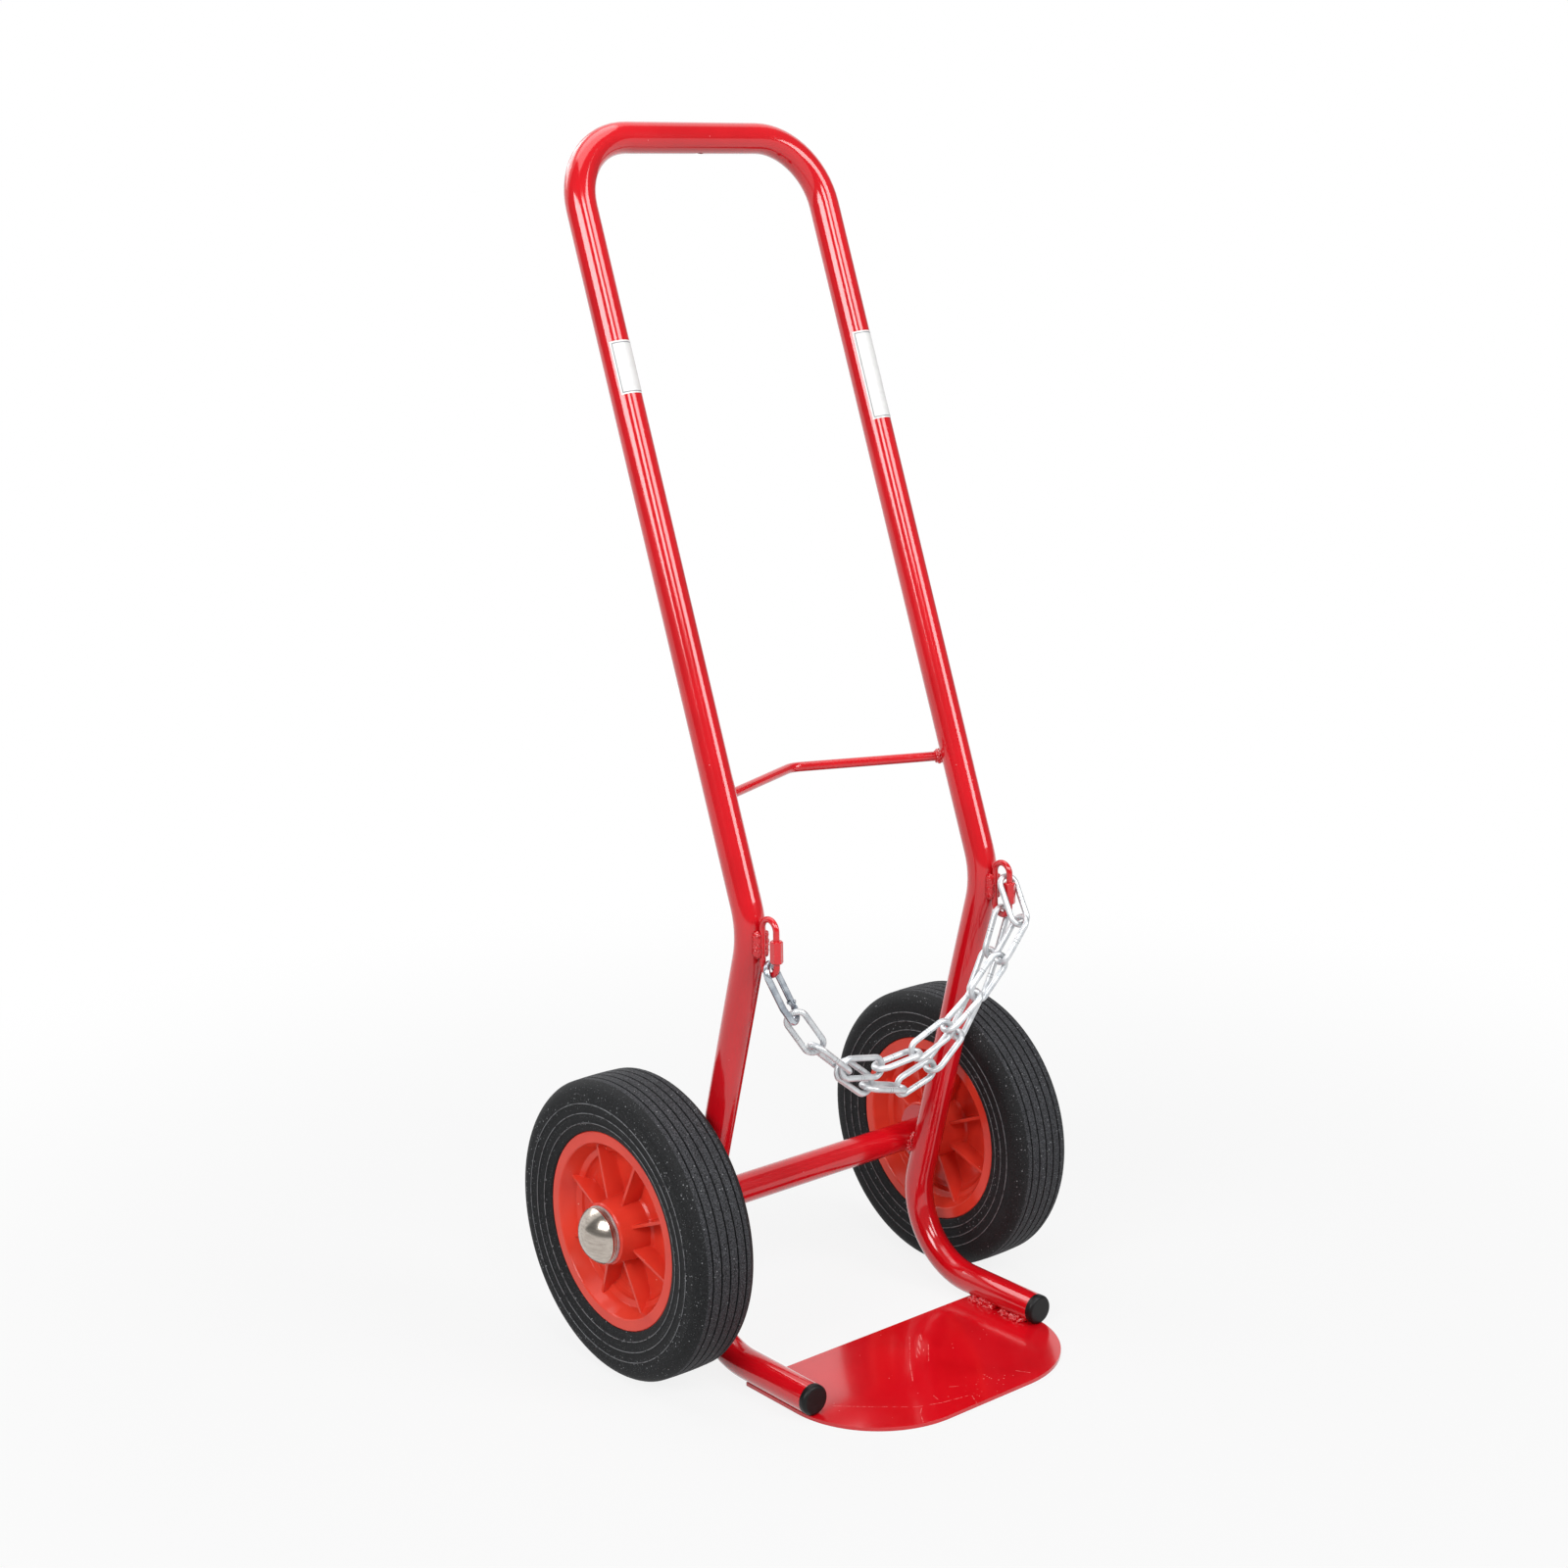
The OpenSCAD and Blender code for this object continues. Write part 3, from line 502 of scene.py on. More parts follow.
@dataclass(frozen=True)
class PlateCoat(PowderCoat):
    """The coat of the toe plate, scuffed by the cylinder's foot."""

    name: str = "scuffed_plate_coat"
    nicks: Specks = Specks(210.0, 0.12, 0.08)
    peel_depth: float = 0.004 * MM
    nib_depth: float = 0.006 * MM
    roughness: float = 0.13
    edge: float = 0.6 * MM
    rub: Clouds = Clouds(800.0, 3.0, 0.6, (0.46, 0.64))
    rub_turn: float = -36.0
    rub_stretch: float = 14.0
    rub_from: Point = (0.034, -0.063)
    rub_to: Point = (0.005, -0.091)
    rub_half: float = 2.2 * MM
    rub_weight: float = 0.8
    scratches: Sequence[Scratch] = (
        ((0.018, -0.084), (0.014, -0.088), 1.0),
        ((0.027, -0.080), (0.007, -0.102), 0.7),
        ((0.025, -0.059), (-0.009, -0.097), 0.45),
        ((-0.009, -0.097), (-0.027, -0.120), 0.8),
        ((-0.052, -0.158), (-0.060, -0.165), 0.7),
        ((-0.060, -0.165), (-0.068, -0.177), 0.9),
        ((-0.032, -0.150), (-0.034, -0.159), 0.5),
        ((-0.104, -0.110), (-0.081, -0.132), 0.5),
        ((-0.081, -0.132), (-0.055, -0.155), 0.5),
        ((-0.055, -0.155), (-0.035, -0.163), 0.6),
        ((-0.035, -0.163), (-0.011, -0.168), 0.7),
        ((-0.012, -0.147), (-0.006, -0.151), 0.5),
        ((-0.009, -0.170), (-0.015, -0.182), 0.5),
        ((0.048, -0.162), (0.054, -0.172), 0.6),
    )
    scratch_half: float = 0.5 * MM
    scratch_gaps: Clouds = Clouds(300.0, 3.0, fade=(0.36, 0.56))
    grit: Specks = Specks(420.0, 0.3, 0.3)
    grit_spread: Clouds = Clouds(90.0, fade=(0.4, 0.6))
    grit_middle: Point = (0.018, -0.168)
    grit_radius: float = 34 * MM
    grit_core: float = 0.3

    def wear(self, graph: MaterialGraph) -> Value:
        """Where the coat is rubbed pale: one rubbed patch, thin scratches and gritty dents.

        Args:
            graph: The material's graph.

        Returns:
            1 where it is rubbed, 0 elsewhere.
        """
        drawn = graph.patches(self.rub, graph.stretched(self.rub_turn, self.rub_stretch))
        rub = graph.stroke(self.rub_from, self.rub_to, self.rub_half) * drawn
        worn = super().wear(graph).larger(rub * self.rub_weight)
        broken = graph.patches(self.scratch_gaps)
        for start, end, weight in self.scratches:
            line = graph.stroke(start, end, self.scratch_half)
            worn = worn.larger(line * broken * weight)
        grit = graph.specks(self.grit) * graph.patches(self.grit_spread)
        inner = self.grit_core * self.grit_radius
        return worn.larger(grit * graph.spot(self.grit_middle, inner, self.grit_radius))


@dataclass(frozen=True)
class MouldedRim:
    """Orange-red moulded plastic with a satin skin and faint flow marks."""

    name: str = "red_rim_plastic"
    colour: Colour = srgb(229, 68, 50)
    shade: Colour = srgb(217, 58, 44)
    flow: Clouds = Clouds(26.0, fade=(0.4, 0.8))
    nick: Colour = srgb(246, 170, 150)
    nicks: Specks = Specks(120.0, 0.1, 0.08)
    nick_cover: float = 0.7
    grain: Clouds = Clouds(900.0)
    grain_depth: float = 0.004 * MM
    haze: Clouds = Clouds(120.0, 3.0)
    haze_dulls: float = 0.05
    roughness: float = 0.15
    specular: float = 0.26
    edge: float = 0.9 * MM

    def make(self) -> Material:
        """Builds the material.

        Returns:
            The material.
        """
        graph = MaterialGraph(self.name)
        base = graph.mix(graph.patches(self.flow), self.colour, self.shade)
        grain = graph.clouds(self.grain)
        return graph.finish({
            "Base Color": graph.mix(graph.specks(self.nicks) * self.nick_cover, base, self.nick),
            "Roughness": self.roughness + self.haze_dulls * graph.clouds(self.haze),
            "Normal": graph.bump(grain, self.grain_depth, graph.soft_edges(self.edge)),
            "Specular IOR Level": self.specular,
        })


@dataclass(frozen=True)
class SolidRubber:
    """Black solid rubber: dark side walls whose thin ridges carry a painted highlight, and a grainy grooved
    tread with painted sheen over real scuffing and painted shade in its grooves.
    """

    axle: Vector
    wheel_out: float
    name: str = "tyre_rubber"
    dark: Colour = srgb(9, 10, 11)
    light: Colour = srgb(38, 39, 41)
    # Lighter grey of the tread: partly real scuffing, partly painted sheen where light falls on the tread.
    tread_scuff_and_sheen: Colour = srgb(76, 77, 81)
    tread_half: float = 20.5 * MM
    tread_inner: float = 121 * MM
    tread_blend: float = 1 * MM
    # Painted highlight: a pale grey on the side-wall ridges stands in for their glints, broken into
    # patches.
    painted_ridge_glint: Colour = srgb(136, 137, 140)
    ridges: Sequence[float] = (89.9 * MM, 98.1 * MM, 106.3 * MM)
    ridge_half: float = 0.6 * MM
    ridge_core: float = 0.2
    ridge_glint_patches: Clouds = Clouds(240.0, 4.0, fade=(0.25, 0.55))
    ridge_glint_cover: float = 0.8
    # Painted shade: the tread's grooves are darkened as if shadowed inside.
    grooves: Sequence[float] = (0.0, 8.2 * MM, 16.4 * MM)
    groove_half: float = 0.9 * MM
    groove_core: float = 0.6
    groove_shade_cover: float = 0.75
    grain: Clouds = Clouds(950.0, 5.0, 0.72, (0.66, 0.36))
    grain_depth: float = 0.25 * MM
    grain_dulls: float = 0.2
    speck: Colour = srgb(160, 162, 165)
    dust: Specks = Specks(420.0, 0.3, 0.1)
    fine_dust: Specks = Specks(900.0, 0.32, 0.16)
    fine_weight: float = 0.6
    dust_cover: float = 0.62
    dust_height: float = 0.5
    groove_hides: float = 0.5
    roughness: float = 0.6
    specular: float = 0.22
    edge: float = 0.4 * MM

    def make(self) -> Material:
        """Builds the material.

        Returns:
            The material.
        """
        graph = MaterialGraph(self.name)
        x, y, z = graph.parts(graph.place)
        radius = ((y - self.axle.y) ** 2 + (z - self.axle.z) ** 2) ** 0.5
        across = abs(abs(x) - self.wheel_out)
        tread = across.ease(self.tread_half + self.tread_blend, self.tread_half)
        tread = tread * radius.ease(self.tread_inner - self.tread_blend, self.tread_inner)
        ridges = [radius.line(m, self.ridge_half, self.ridge_core) for m in self.ridges]
        # Painted highlight along the side-wall ridges, broken into patches and kept off the tread.
        painted_ridge_glint = functools.reduce(Value.larger, ridges) * (1 - tread) * graph.patches(self.ridge_glint_patches)
        grooves = [across.line(m, self.groove_half, self.groove_core) for m in self.grooves]
        groove = tread * functools.reduce(Value.larger, grooves)
        grain = graph.clouds(self.grain)
        dust = graph.specks(self.dust).larger(graph.specks(self.fine_dust) * self.fine_weight)
        # The tread gets its lighter grey: partly scuffing, partly painted sheen.
        base = graph.mix(tread, self.light, self.tread_scuff_and_sheen)
        base = graph.mix(grain.ease(*self.grain.fade), base, self.dark)
        base = graph.mix(painted_ridge_glint * self.ridge_glint_cover, base, self.painted_ridge_glint)
        # Painted shade in the tread's grooves.
        base = graph.mix(groove * self.groove_shade_cover, base, self.dark)
        cover = dust * (self.dust_cover - self.groove_hides * groove)
        relief = grain + self.dust_height * dust
        return graph.finish({
            "Base Color": graph.mix(cover, base, self.speck),
            "Roughness": self.roughness + self.grain_dulls * grain,
            "Normal": graph.bump(relief, self.grain_depth, graph.soft_edges(self.edge)),
            "Specular IOR Level": self.specular,
        })


@dataclass(frozen=True)
class BlackCap:
    """Black plastic of the end caps, with a soft sheen."""

    name: str = "black_cap_plastic"
    colour: Colour = srgb(9, 9, 10)
    dust: Colour = srgb(20, 20, 22)
    film: Clouds = Clouds(160.0, 5.0, fade=(0.5, 0.8))
    grain: Clouds = Clouds(1500.0)
    grain_depth: float = 0.04 * MM
    grain_dulls: float = 0.15
    roughness: float = 0.36
    specular: float = 0.3
    edge: float = 0.8 * MM

    def make(self) -> Material:
        """Builds the material.

        Returns:
            The material.
        """
        graph = MaterialGraph(self.name)
        grain = graph.clouds(self.grain)
        return graph.finish({
            "Base Color": graph.mix(graph.patches(self.film), self.colour, self.dust),
            "Roughness": self.roughness + self.grain_dulls * grain,
            "Specular IOR Level": self.specular,
            "Normal": graph.bump(grain, self.grain_depth, graph.soft_edges(self.edge)),
        })


@dataclass(frozen=True)
class ZincPlate:
    """Bright zinc plating over drawn steel wire, duller at the weld of a link."""

    name: str = "bright_zinc"
    colour: Colour = srgb(214, 217, 219)
    shade: Colour = srgb(194, 198, 202)
    bloom: Clouds = Clouds(140.0, 4.0, fade=(0.36, 0.7))
    bloom_dulls: float = 0.16
    skin: Clouds = Clouds(500.0)
    depth: float = 0.02 * MM
    seam: Colour = srgb(96, 100, 104)
    seam_out: float = 1.2 * MM
    seam_half: float = 0.3 * MM
    seam_core: float = 0.3
    seam_side: Span = (1 * MM, 2 * MM)
    seam_cover: float = 0.8
    seam_sinks: float = 4.0
    metallic: float = 0.66
    roughness: float = 0.33
    edge: float = 0.0

    def make(self) -> Material:
        """Builds the material.

        Returns:
            The material.
        """
        graph = MaterialGraph(self.name)
        link_place = graph.add("ShaderNodeAttribute", {"attribute_name": LINK_PLACE}, out="Vector")
        along, beside, _ = graph.parts(link_place)
        seam = abs(along).line(self.seam_out, self.seam_half, self.seam_core)
        seam = seam * beside.ease(*self.seam_side)
        bloom = graph.clouds(self.bloom)
        base = graph.mix(bloom.ease(*self.bloom.fade), self.colour, self.shade)
        relief = graph.clouds(self.skin) - self.seam_sinks * seam
        return graph.finish({
            "Base Color": graph.mix(seam * self.seam_cover, base, self.seam),
            "Metallic": self.metallic,
            "Roughness": self.roughness + self.bloom_dulls * bloom,
            "Normal": graph.bump(relief, self.depth, graph.soft_edges(self.edge)),
        })


@dataclass(frozen=True)
class HookSteel(ZincPlate):
    """Darker blue-grey plating of the snap hook and its gate."""

    name: str = "hook_plating"
    colour: Colour = srgb(192, 199, 206)
    shade: Colour = srgb(150, 158, 168)
    metallic: float = 0.85
    roughness: float = 0.16
    edge: float = 0.25 * MM


@dataclass(frozen=True)
class PolishedSheet:
    """Polished pressed sheet of the hub caps, with faint rubbing marks."""

    name: str = "polished_sheet"
    colour: Colour = srgb(196, 187, 177)
    shade: Colour = srgb(168, 157, 147)
    rub: Clouds = Clouds(500.0, 4.0, 0.6, (0.25, 0.85))
    rub_turn: float = 20.0
    rub_stretch: float = 8.0
    rub_dulls: float = 0.05
    dents: Clouds = Clouds(110.0)
    dent_depth: float = 0.02 * MM
    roughness: float = 0.18

    def make(self) -> Material:
        """Builds the material.

        Returns:
            The material.
        """
        graph = MaterialGraph(self.name)
        rub = graph.clouds(self.rub, graph.stretched(self.rub_turn, self.rub_stretch))
        return graph.finish({
            "Base Color": graph.mix(rub.ease(*self.rub.fade), self.colour, self.shade),
            "Metallic": 1.0,
            "Roughness": self.roughness + self.rub_dulls * rub,
            "Normal": graph.bump(graph.clouds(self.dents), self.dent_depth),
        })


@dataclass(frozen=True)
class WhiteVinyl:
    """Blank white vinyl of the stickers, with a thin grey border line."""

    name: str = "white_vinyl"
    colour: Colour = srgb(222, 222, 221)
    shade: Colour = srgb(214, 214, 213)
    film: Clouds = Clouds(240.0, 3.0, fade=(0.4, 0.8))
    film_depth: float = 0.03 * MM
    film_dulls: float = 0.1
    line: Colour = srgb(120, 122, 126)
    line_inset: float = 1.7 * MM
    line_half: float = 0.45 * MM
    line_core: float = 0.6
    roughness: float = 0.34

    def make(self) -> Material:
        """Builds the material.

        Returns:
            The material.
        """
        graph = MaterialGraph(self.name)
        film = graph.clouds(self.film)
        away = graph.add("ShaderNodeAttribute", {"attribute_name": EDGE_AWAY}, out="Fac")
        line = away.line(self.line_inset, self.line_half, self.line_core)
        base = graph.mix(film.ease(*self.film.fade), self.colour, self.shade)
        return graph.finish({
            "Base Color": graph.mix(line, base, self.line),
            "Roughness": self.roughness + self.film_dulls * film,
            "Normal": graph.bump(film, self.film_depth),
        })


class Finishes:
    """Every finish of the trolley, made once."""

    edged_nodes = ("sleeve_nut_left", "sleeve_nut_right", "inner_washer_left", "inner_washer_right")
    edged_radius = 0.5 * MM
    hook_nodes = ("hook_body", "hook_gate", "hook_rivet")

    def __init__(self, axle: Vector, wheel_out: float) -> None:
        """Makes the materials.

        Args:
            axle: Middle of the axle.
            wheel_out: How far a wheel's middle lies from the middle of the trolley.
        """
        self.paint = PowderCoat().make()
        self.zinc = ZincPlate().make()
        self.vinyl = WhiteVinyl().make()
        edged = PowderCoat("red_edge_coat", edge=self.edged_radius).make()
        self.of_node = {
            "toe_plate": PlateCoat().make(),
            **dict.fromkeys(self.edged_nodes, edged),
            **dict.fromkeys(self.hook_nodes, HookSteel().make()),
        }
        self.of_slot = {
            Slot.RED_PAINT: self.paint,
            Slot.RIM_RED: MouldedRim().make(),
            Slot.TYRE_RUBBER: SolidRubber(axle, wheel_out).make(),
            Slot.CAP_BLACK: BlackCap().make(),
            Slot.POLISHED_CAP: PolishedSheet().make(),
            Slot.ZINC_PLATED: self.zinc,
        }

    def dress(self, frame: dict[str, Any]) -> int:
        """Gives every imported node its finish.

        Args:
            frame: The loaded frame.

        Returns:
            The count of dressed nodes.
        """
        rows = frame["record"]["subparts"]
        for row in rows:
            mesh = frame["nodes"][row["node"]].data
            mesh.materials.clear()
            slot_finish = self.of_slot[Slot(row["material_slot"])]
            mesh.materials.append(self.of_node.get(row["node"], slot_finish))
        return len(rows)


def new_object(name: str, data: ID) -> Object:
    """Adds an object to the scene, at the origin.

    Args:
        name: Its name.
        data: Its mesh, lamp or camera.

    Returns:
        The object.
    """
    made = bpy.data.objects.new(name, data)
    bpy.context.scene.collection.objects.link(made)
    return made


class GeometryGraph(Graph):
    """A Geometry Nodes tree that is run once on a mesh."""

    def __init__(self, name: str) -> None:
        """Makes an empty tree with a geometry input and output.

        Args:
            name: The tree's name.
        """
        super().__init__(bpy.data.node_groups.new(name, "GeometryNodeTree"))
        self._socket("Geometry", "NodeSocketGeometry", "INPUT")
        self._socket("Geometry", "NodeSocketGeometry", "OUTPUT")
        self.entry = self.node("NodeGroupInput")
        self.exit = self.node("NodeGroupOutput")
        self.values: dict[str, Any] = {}

    def _socket(self, name: str, kind: str, way: str) -> str:
        """Adds a socket to the tree's interface and gives its identifier."""
        return self.tree.interface.new_socket(name, in_out=way, socket_type=kind).identifier

    @property
    def geometry(self) -> Value:
        """The mesh that the tree is run on."""
        return Value(self, self.entry.outputs["Geometry"])

    def size(self, name: str, value: Any, kind: str = "NodeSocketFloat") -> Value:
        """Adds a named input with its value.

        Args:
            name: The input's name.
            value: The value it is run with.
            kind: The socket's type.

        Returns:
            The input, inside the tree.
        """
        self.values[self._socket(name, kind, "INPUT")] = value
        return Value(self, self.entry.outputs[name])

    def dressed(self, geometry: Value, finish: Material) -> Value:
        """Makes instances real and gives the faces their finish.

        Args:
            geometry: The geometry to dress.
            finish: Its material.

        Returns:
            Plain smooth faces with the finish.
        """
        material = self.size("Finish", finish, "NodeSocketMaterial")
        real = self.add("GeometryNodeRealizeInstances", None, {"Geometry": geometry})
        smooth = self.add("GeometryNodeSetShadeSmooth", None, {"Geometry": real})
        return self.add("GeometryNodeSetMaterial", None, {"Geometry": smooth, "Material": material})

    def run(self, name: str, mesh: Mesh, result: Value) -> Object:
        """Runs the tree on a mesh and keeps the result as a plain mesh.

        Args:
            name: Name of the new piece.
            mesh: The mesh that the tree starts from.
            result: The geometry that is kept.

        Returns:
            The new piece, at the origin.
        """
        self.fill(self.exit.inputs["Geometry"], result)
        piece = new_object(name, mesh)
        modifier = piece.modifiers.new(name, "NODES")
        modifier.node_group = self.tree
        for identifier, value in self.values.items():
            modifier[identifier] = value
        graph = bpy.context.evaluated_depsgraph_get()
        made = bpy.data.meshes.new_from_object(piece.evaluated_get(graph), depsgraph=graph)
        piece.modifiers.clear()
        piece.data = made
        made.name = name
        return piece


def points_of(mesh: Mesh) -> np.ndarray:
    """Lists the different vertices of a mesh.

    Args:
        mesh: The mesh, which may be loose triangles.

    Returns:
        One row of X, Y and Z for each vertex.
    """
    flat = np.zeros(len(mesh.vertices) * 3, np.float32)
    mesh.vertices.foreach_get("co", flat)
    return np.unique(np.round(flat.reshape(-1, 3).astype(float), POINT_DIGITS), axis=0)


def merged_copy(mesh: Mesh, name: str) -> Mesh:
    """Copies a mesh of loose triangles as one joined surface.

    Args:
        mesh: The mesh to copy.
        name: Name of the copy.

    Returns:
        The joined copy.
    """
    work = bmesh.new()
    work.from_mesh(mesh)
    bmesh.ops.remove_doubles(work, verts=work.verts, dist=MERGE_DISTANCE)
    copy = bpy.data.meshes.new(name)
    work.to_mesh(copy)
    work.free()
    return copy


@dataclass
class HoldChain:
    """The hold chain: welded links, some flipped by a draw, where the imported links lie."""

    nodes: Sequence[str]
    ring_sides: int = 20
    ring_count: int = 96
    bow_steps: int = 24
    bow_share: float = 0.4999
    weld_swell: float = 0.13
    weld_length: float = 2.6 * MM
    seed: int = 4

    def link_frame(self, mesh: Mesh) -> tuple[Vector, Matrix, Vector]:
        """Finds the place, the axes and the sizes of a packed link.

        Args:
            mesh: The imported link.

        Returns:
            Its middle, its axes as columns, and its size along each of them.
        """
        points = points_of(mesh)
        centre = points.mean(0)
        _, _, axes = np.linalg.svd(points - centre, full_matrices=False)
        axes[2] = np.cross(axes[0], axes[1])
        along = (points - centre) @ axes.T
        middle = centre + ((along.min(0) + along.max(0)) / 2) @ axes
        size = along.max(0) - along.min(0)
        return Vector(middle), Matrix(axes.tolist()).transposed(), Vector(size)

    def seats(self, frame: dict[str, Any]) -> tuple[Mesh, Vector]:
        """Makes one point for each link, with its turn.

        Args:
            frame: The loaded frame.

        Returns:
            The points, and the size of a link.
        """
        draw = random.Random(self.seed)
        found = [self.link_frame(frame["nodes"][n].data) for n in self.nodes]
        mesh = bpy.data.meshes.new("chain_seats")
        mesh.from_pydata([middle for middle, _, _ in found], [], [])
        turn = mesh.attributes.new("turn", "FLOAT_VECTOR", "POINT")
        for index, (_, axes, _) in enumerate(found):
            flip = Matrix.Rotation(math.pi * draw.randint(0, 1), 3, "X")
            turn.data[index].vector = (axes @ flip).to_euler()
        return mesh, found[0][2]

    def link(self, graph: GeometryGraph, size: Vector) -> Value:
        """Builds one link, with the swelling of its weld in one long side.

        Args:
            graph: The tree that the link is built in.
            size: The link's length, width and wire.

        Returns:
            The link's mesh, which keeps the place of each point on the link.
        """
        length = graph.size("Length", size[0])
        width = graph.size("Width", size[1])
        wire = graph.size("Wire", size[2])
        swell = graph.size("Weld swell", self.weld_swell)
        reach = graph.size("Weld length", self.weld_length)
        loop = graph.add("GeometryNodeCurvePrimitiveQuadrilateral", {"mode": "RECTANGLE"}, {
            "Width": length - wire, "Height": width - wire,
        })
        loop = graph.add("GeometryNodeFilletCurve", {"mode": "POLY"}, {
            "Curve": loop,
            "Radius": (width - wire) * self.bow_share,
            "Limit Radius": True,
            "Count": self.bow_steps,
        })
        loop = graph.add("GeometryNodeResampleCurve", None, {"Curve": loop, "Count": self.ring_count})
        place = graph.add("GeometryNodeInputPosition")
        along, beside, _ = graph.parts(place)
        weld = abs(along).ease(reach, 0.0) * (beside > 0.0)
        loop = graph.add("GeometryNodeSetCurveRadius", None, {"Curve": loop, "Radius": 1 + weld * swell})
        ring = graph.add("GeometryNodeCurvePrimitiveCircle", None, {
            "Resolution": self.ring_sides, "Radius": wire * 0.5,
        })
        link = graph.add("GeometryNodeCurveToMesh", None, {"Curve": loop, "Profile Curve": ring})
        settings = {"data_type": "FLOAT_VECTOR", "domain": "POINT"}
        sockets = {"Geometry": link, "Name": LINK_PLACE, "Value": place}
        return graph.add("GeometryNodeStoreNamedAttribute", settings, sockets)

    def build(self, frame: dict[str, Any], finishes: Finishes) -> Object:
        """Builds every link and sets it in its place.

        Args:
            frame: The loaded frame.
            finishes: The finishes of the trolley.

        Returns:
            The links, as one piece.
        """
        seats, size = self.seats(frame)
        graph = GeometryGraph("welded_links")
        turn = graph.add("GeometryNodeInputNamedAttribute", {"data_type": "FLOAT_VECTOR"}, {"Name": "turn"})
        links = graph.add("GeometryNodeInstanceOnPoints", None, {
            "Points": graph.geometry,
            "Instance": self.link(graph, size),
            "Rotation": graph.add("FunctionNodeEulerToRotation", None, {0: turn}),
        })
        piece = graph.run("chain_links", seats, graph.dressed(links, finishes.zinc))
        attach(piece, Body.CHAIN.value)
        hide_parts(*self.nodes)
        return piece


@dataclass
class WeldBeads:
    """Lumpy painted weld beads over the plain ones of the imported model."""

    lump_radii: Sequence[tuple[str, float]] = (
        ("foot_welds", 2.3 * MM),
        ("axle_welds", 1.5 * MM),
        ("rest_bar_welds", 1.0 * MM),
        ("quick_link_welds", 0.7 * MM),
    )
    lump_spacing: float = 1.7
    lump_density: float = 1.0e6
    lump_rounding: int = 2
    least_lump: float = 0.5
    largest_lump: float = 1.35
    voxel: float = 0.35 * MM
    calm_rounds: int = 3
    seed: int = 7

    def scatter(self, graph: GeometryGraph, lump_radius: float, seed_value: int) -> Value:
        """Scatters lumps over a plain bead.

        Args:
            graph: The tree, which is run on the plain bead.
            lump_radius: Radius of a lump.
            seed_value: Seed of the scatter.

        Returns:
            The lumps.
        """
        radius = graph.size("Lump radius", lump_radius)
        gap = graph.size("Lump gap", lump_radius * self.lump_spacing)
        seed = graph.size("Seed", seed_value, "NodeSocketInt")
        spots = graph.add("GeometryNodeDistributePointsOnFaces", {"distribute_method": "POISSON"}, {
            "Mesh": graph.geometry, "Distance Min": gap, "Density Max": self.lump_density, "Seed": seed,
        })
        lump = graph.add("GeometryNodeMeshIcoSphere", None, {
            "Radius": radius, "Subdivisions": self.lump_rounding,
        })
        scale = graph.add("FunctionNodeRandomValue", {"data_type": "FLOAT"}, {
            "Min": self.least_lump, "Max": self.largest_lump, "Seed": seed,
        }, "Value")
        lumps = graph.add("GeometryNodeInstanceOnPoints", None, {
            "Points": spots, "Instance": lump, "Scale": scale,
        })
        return graph.add("GeometryNodeRealizeInstances", None, {"Geometry": lumps})

    def melted(self, graph: GeometryGraph, lumps: Value) -> Value:
        """Melts lumps into their plain bead.

        Args:
            graph: The tree, which is run on the plain bead.
            lumps: The lumps on it.

        Returns:
            The lumpy bead.
        """
        voxel = graph.size("Voxel", self.voxel)
        joined = graph.node("GeometryNodeJoinGeometry")
        for part in (graph.geometry, lumps):
            graph.fill(joined.inputs["Geometry"], part)
        melt = graph.add("GeometryNodeMeshToVolume", {"resolution_mode": "VOXEL_SIZE"}, {
            "Mesh": Value(graph, joined.outputs["Geometry"]), "Voxel Size": voxel,
        })
        melt = graph.add("GeometryNodeVolumeToMesh", {"resolution_mode": "GRID"}, {"Volume": melt})
        calm = graph.add("GeometryNodeBlurAttribute", {"data_type": "FLOAT_VECTOR"}, {
            "Value": graph.add("GeometryNodeInputPosition"), "Iterations": self.calm_rounds,
        })
        return graph.add("GeometryNodeSetPosition", None, {"Geometry": melt, "Position": calm})

    def build(self, frame: dict[str, Any], finishes: Finishes) -> list[Object]:
        """Builds the beads of every weld node.

        Args:
            frame: The loaded frame.
            finishes: The finishes of the trolley.

        Returns:
            One piece for each node.
        """
        made = []
        for index, (node, lump_radius) in enumerate(self.lump_radii):
            graph = GeometryGraph(f"lumps_{node}")
            beads = self.melted(graph, self.scatter(graph, lump_radius, self.seed + index))
            plain = merged_copy(frame["nodes"][node].data, node)
            piece = graph.run(f"{node}_beads", plain, graph.dressed(beads, finishes.paint))
            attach(piece, Body.FRAME.value)
            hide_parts(node)
            made.append(piece)
        return made


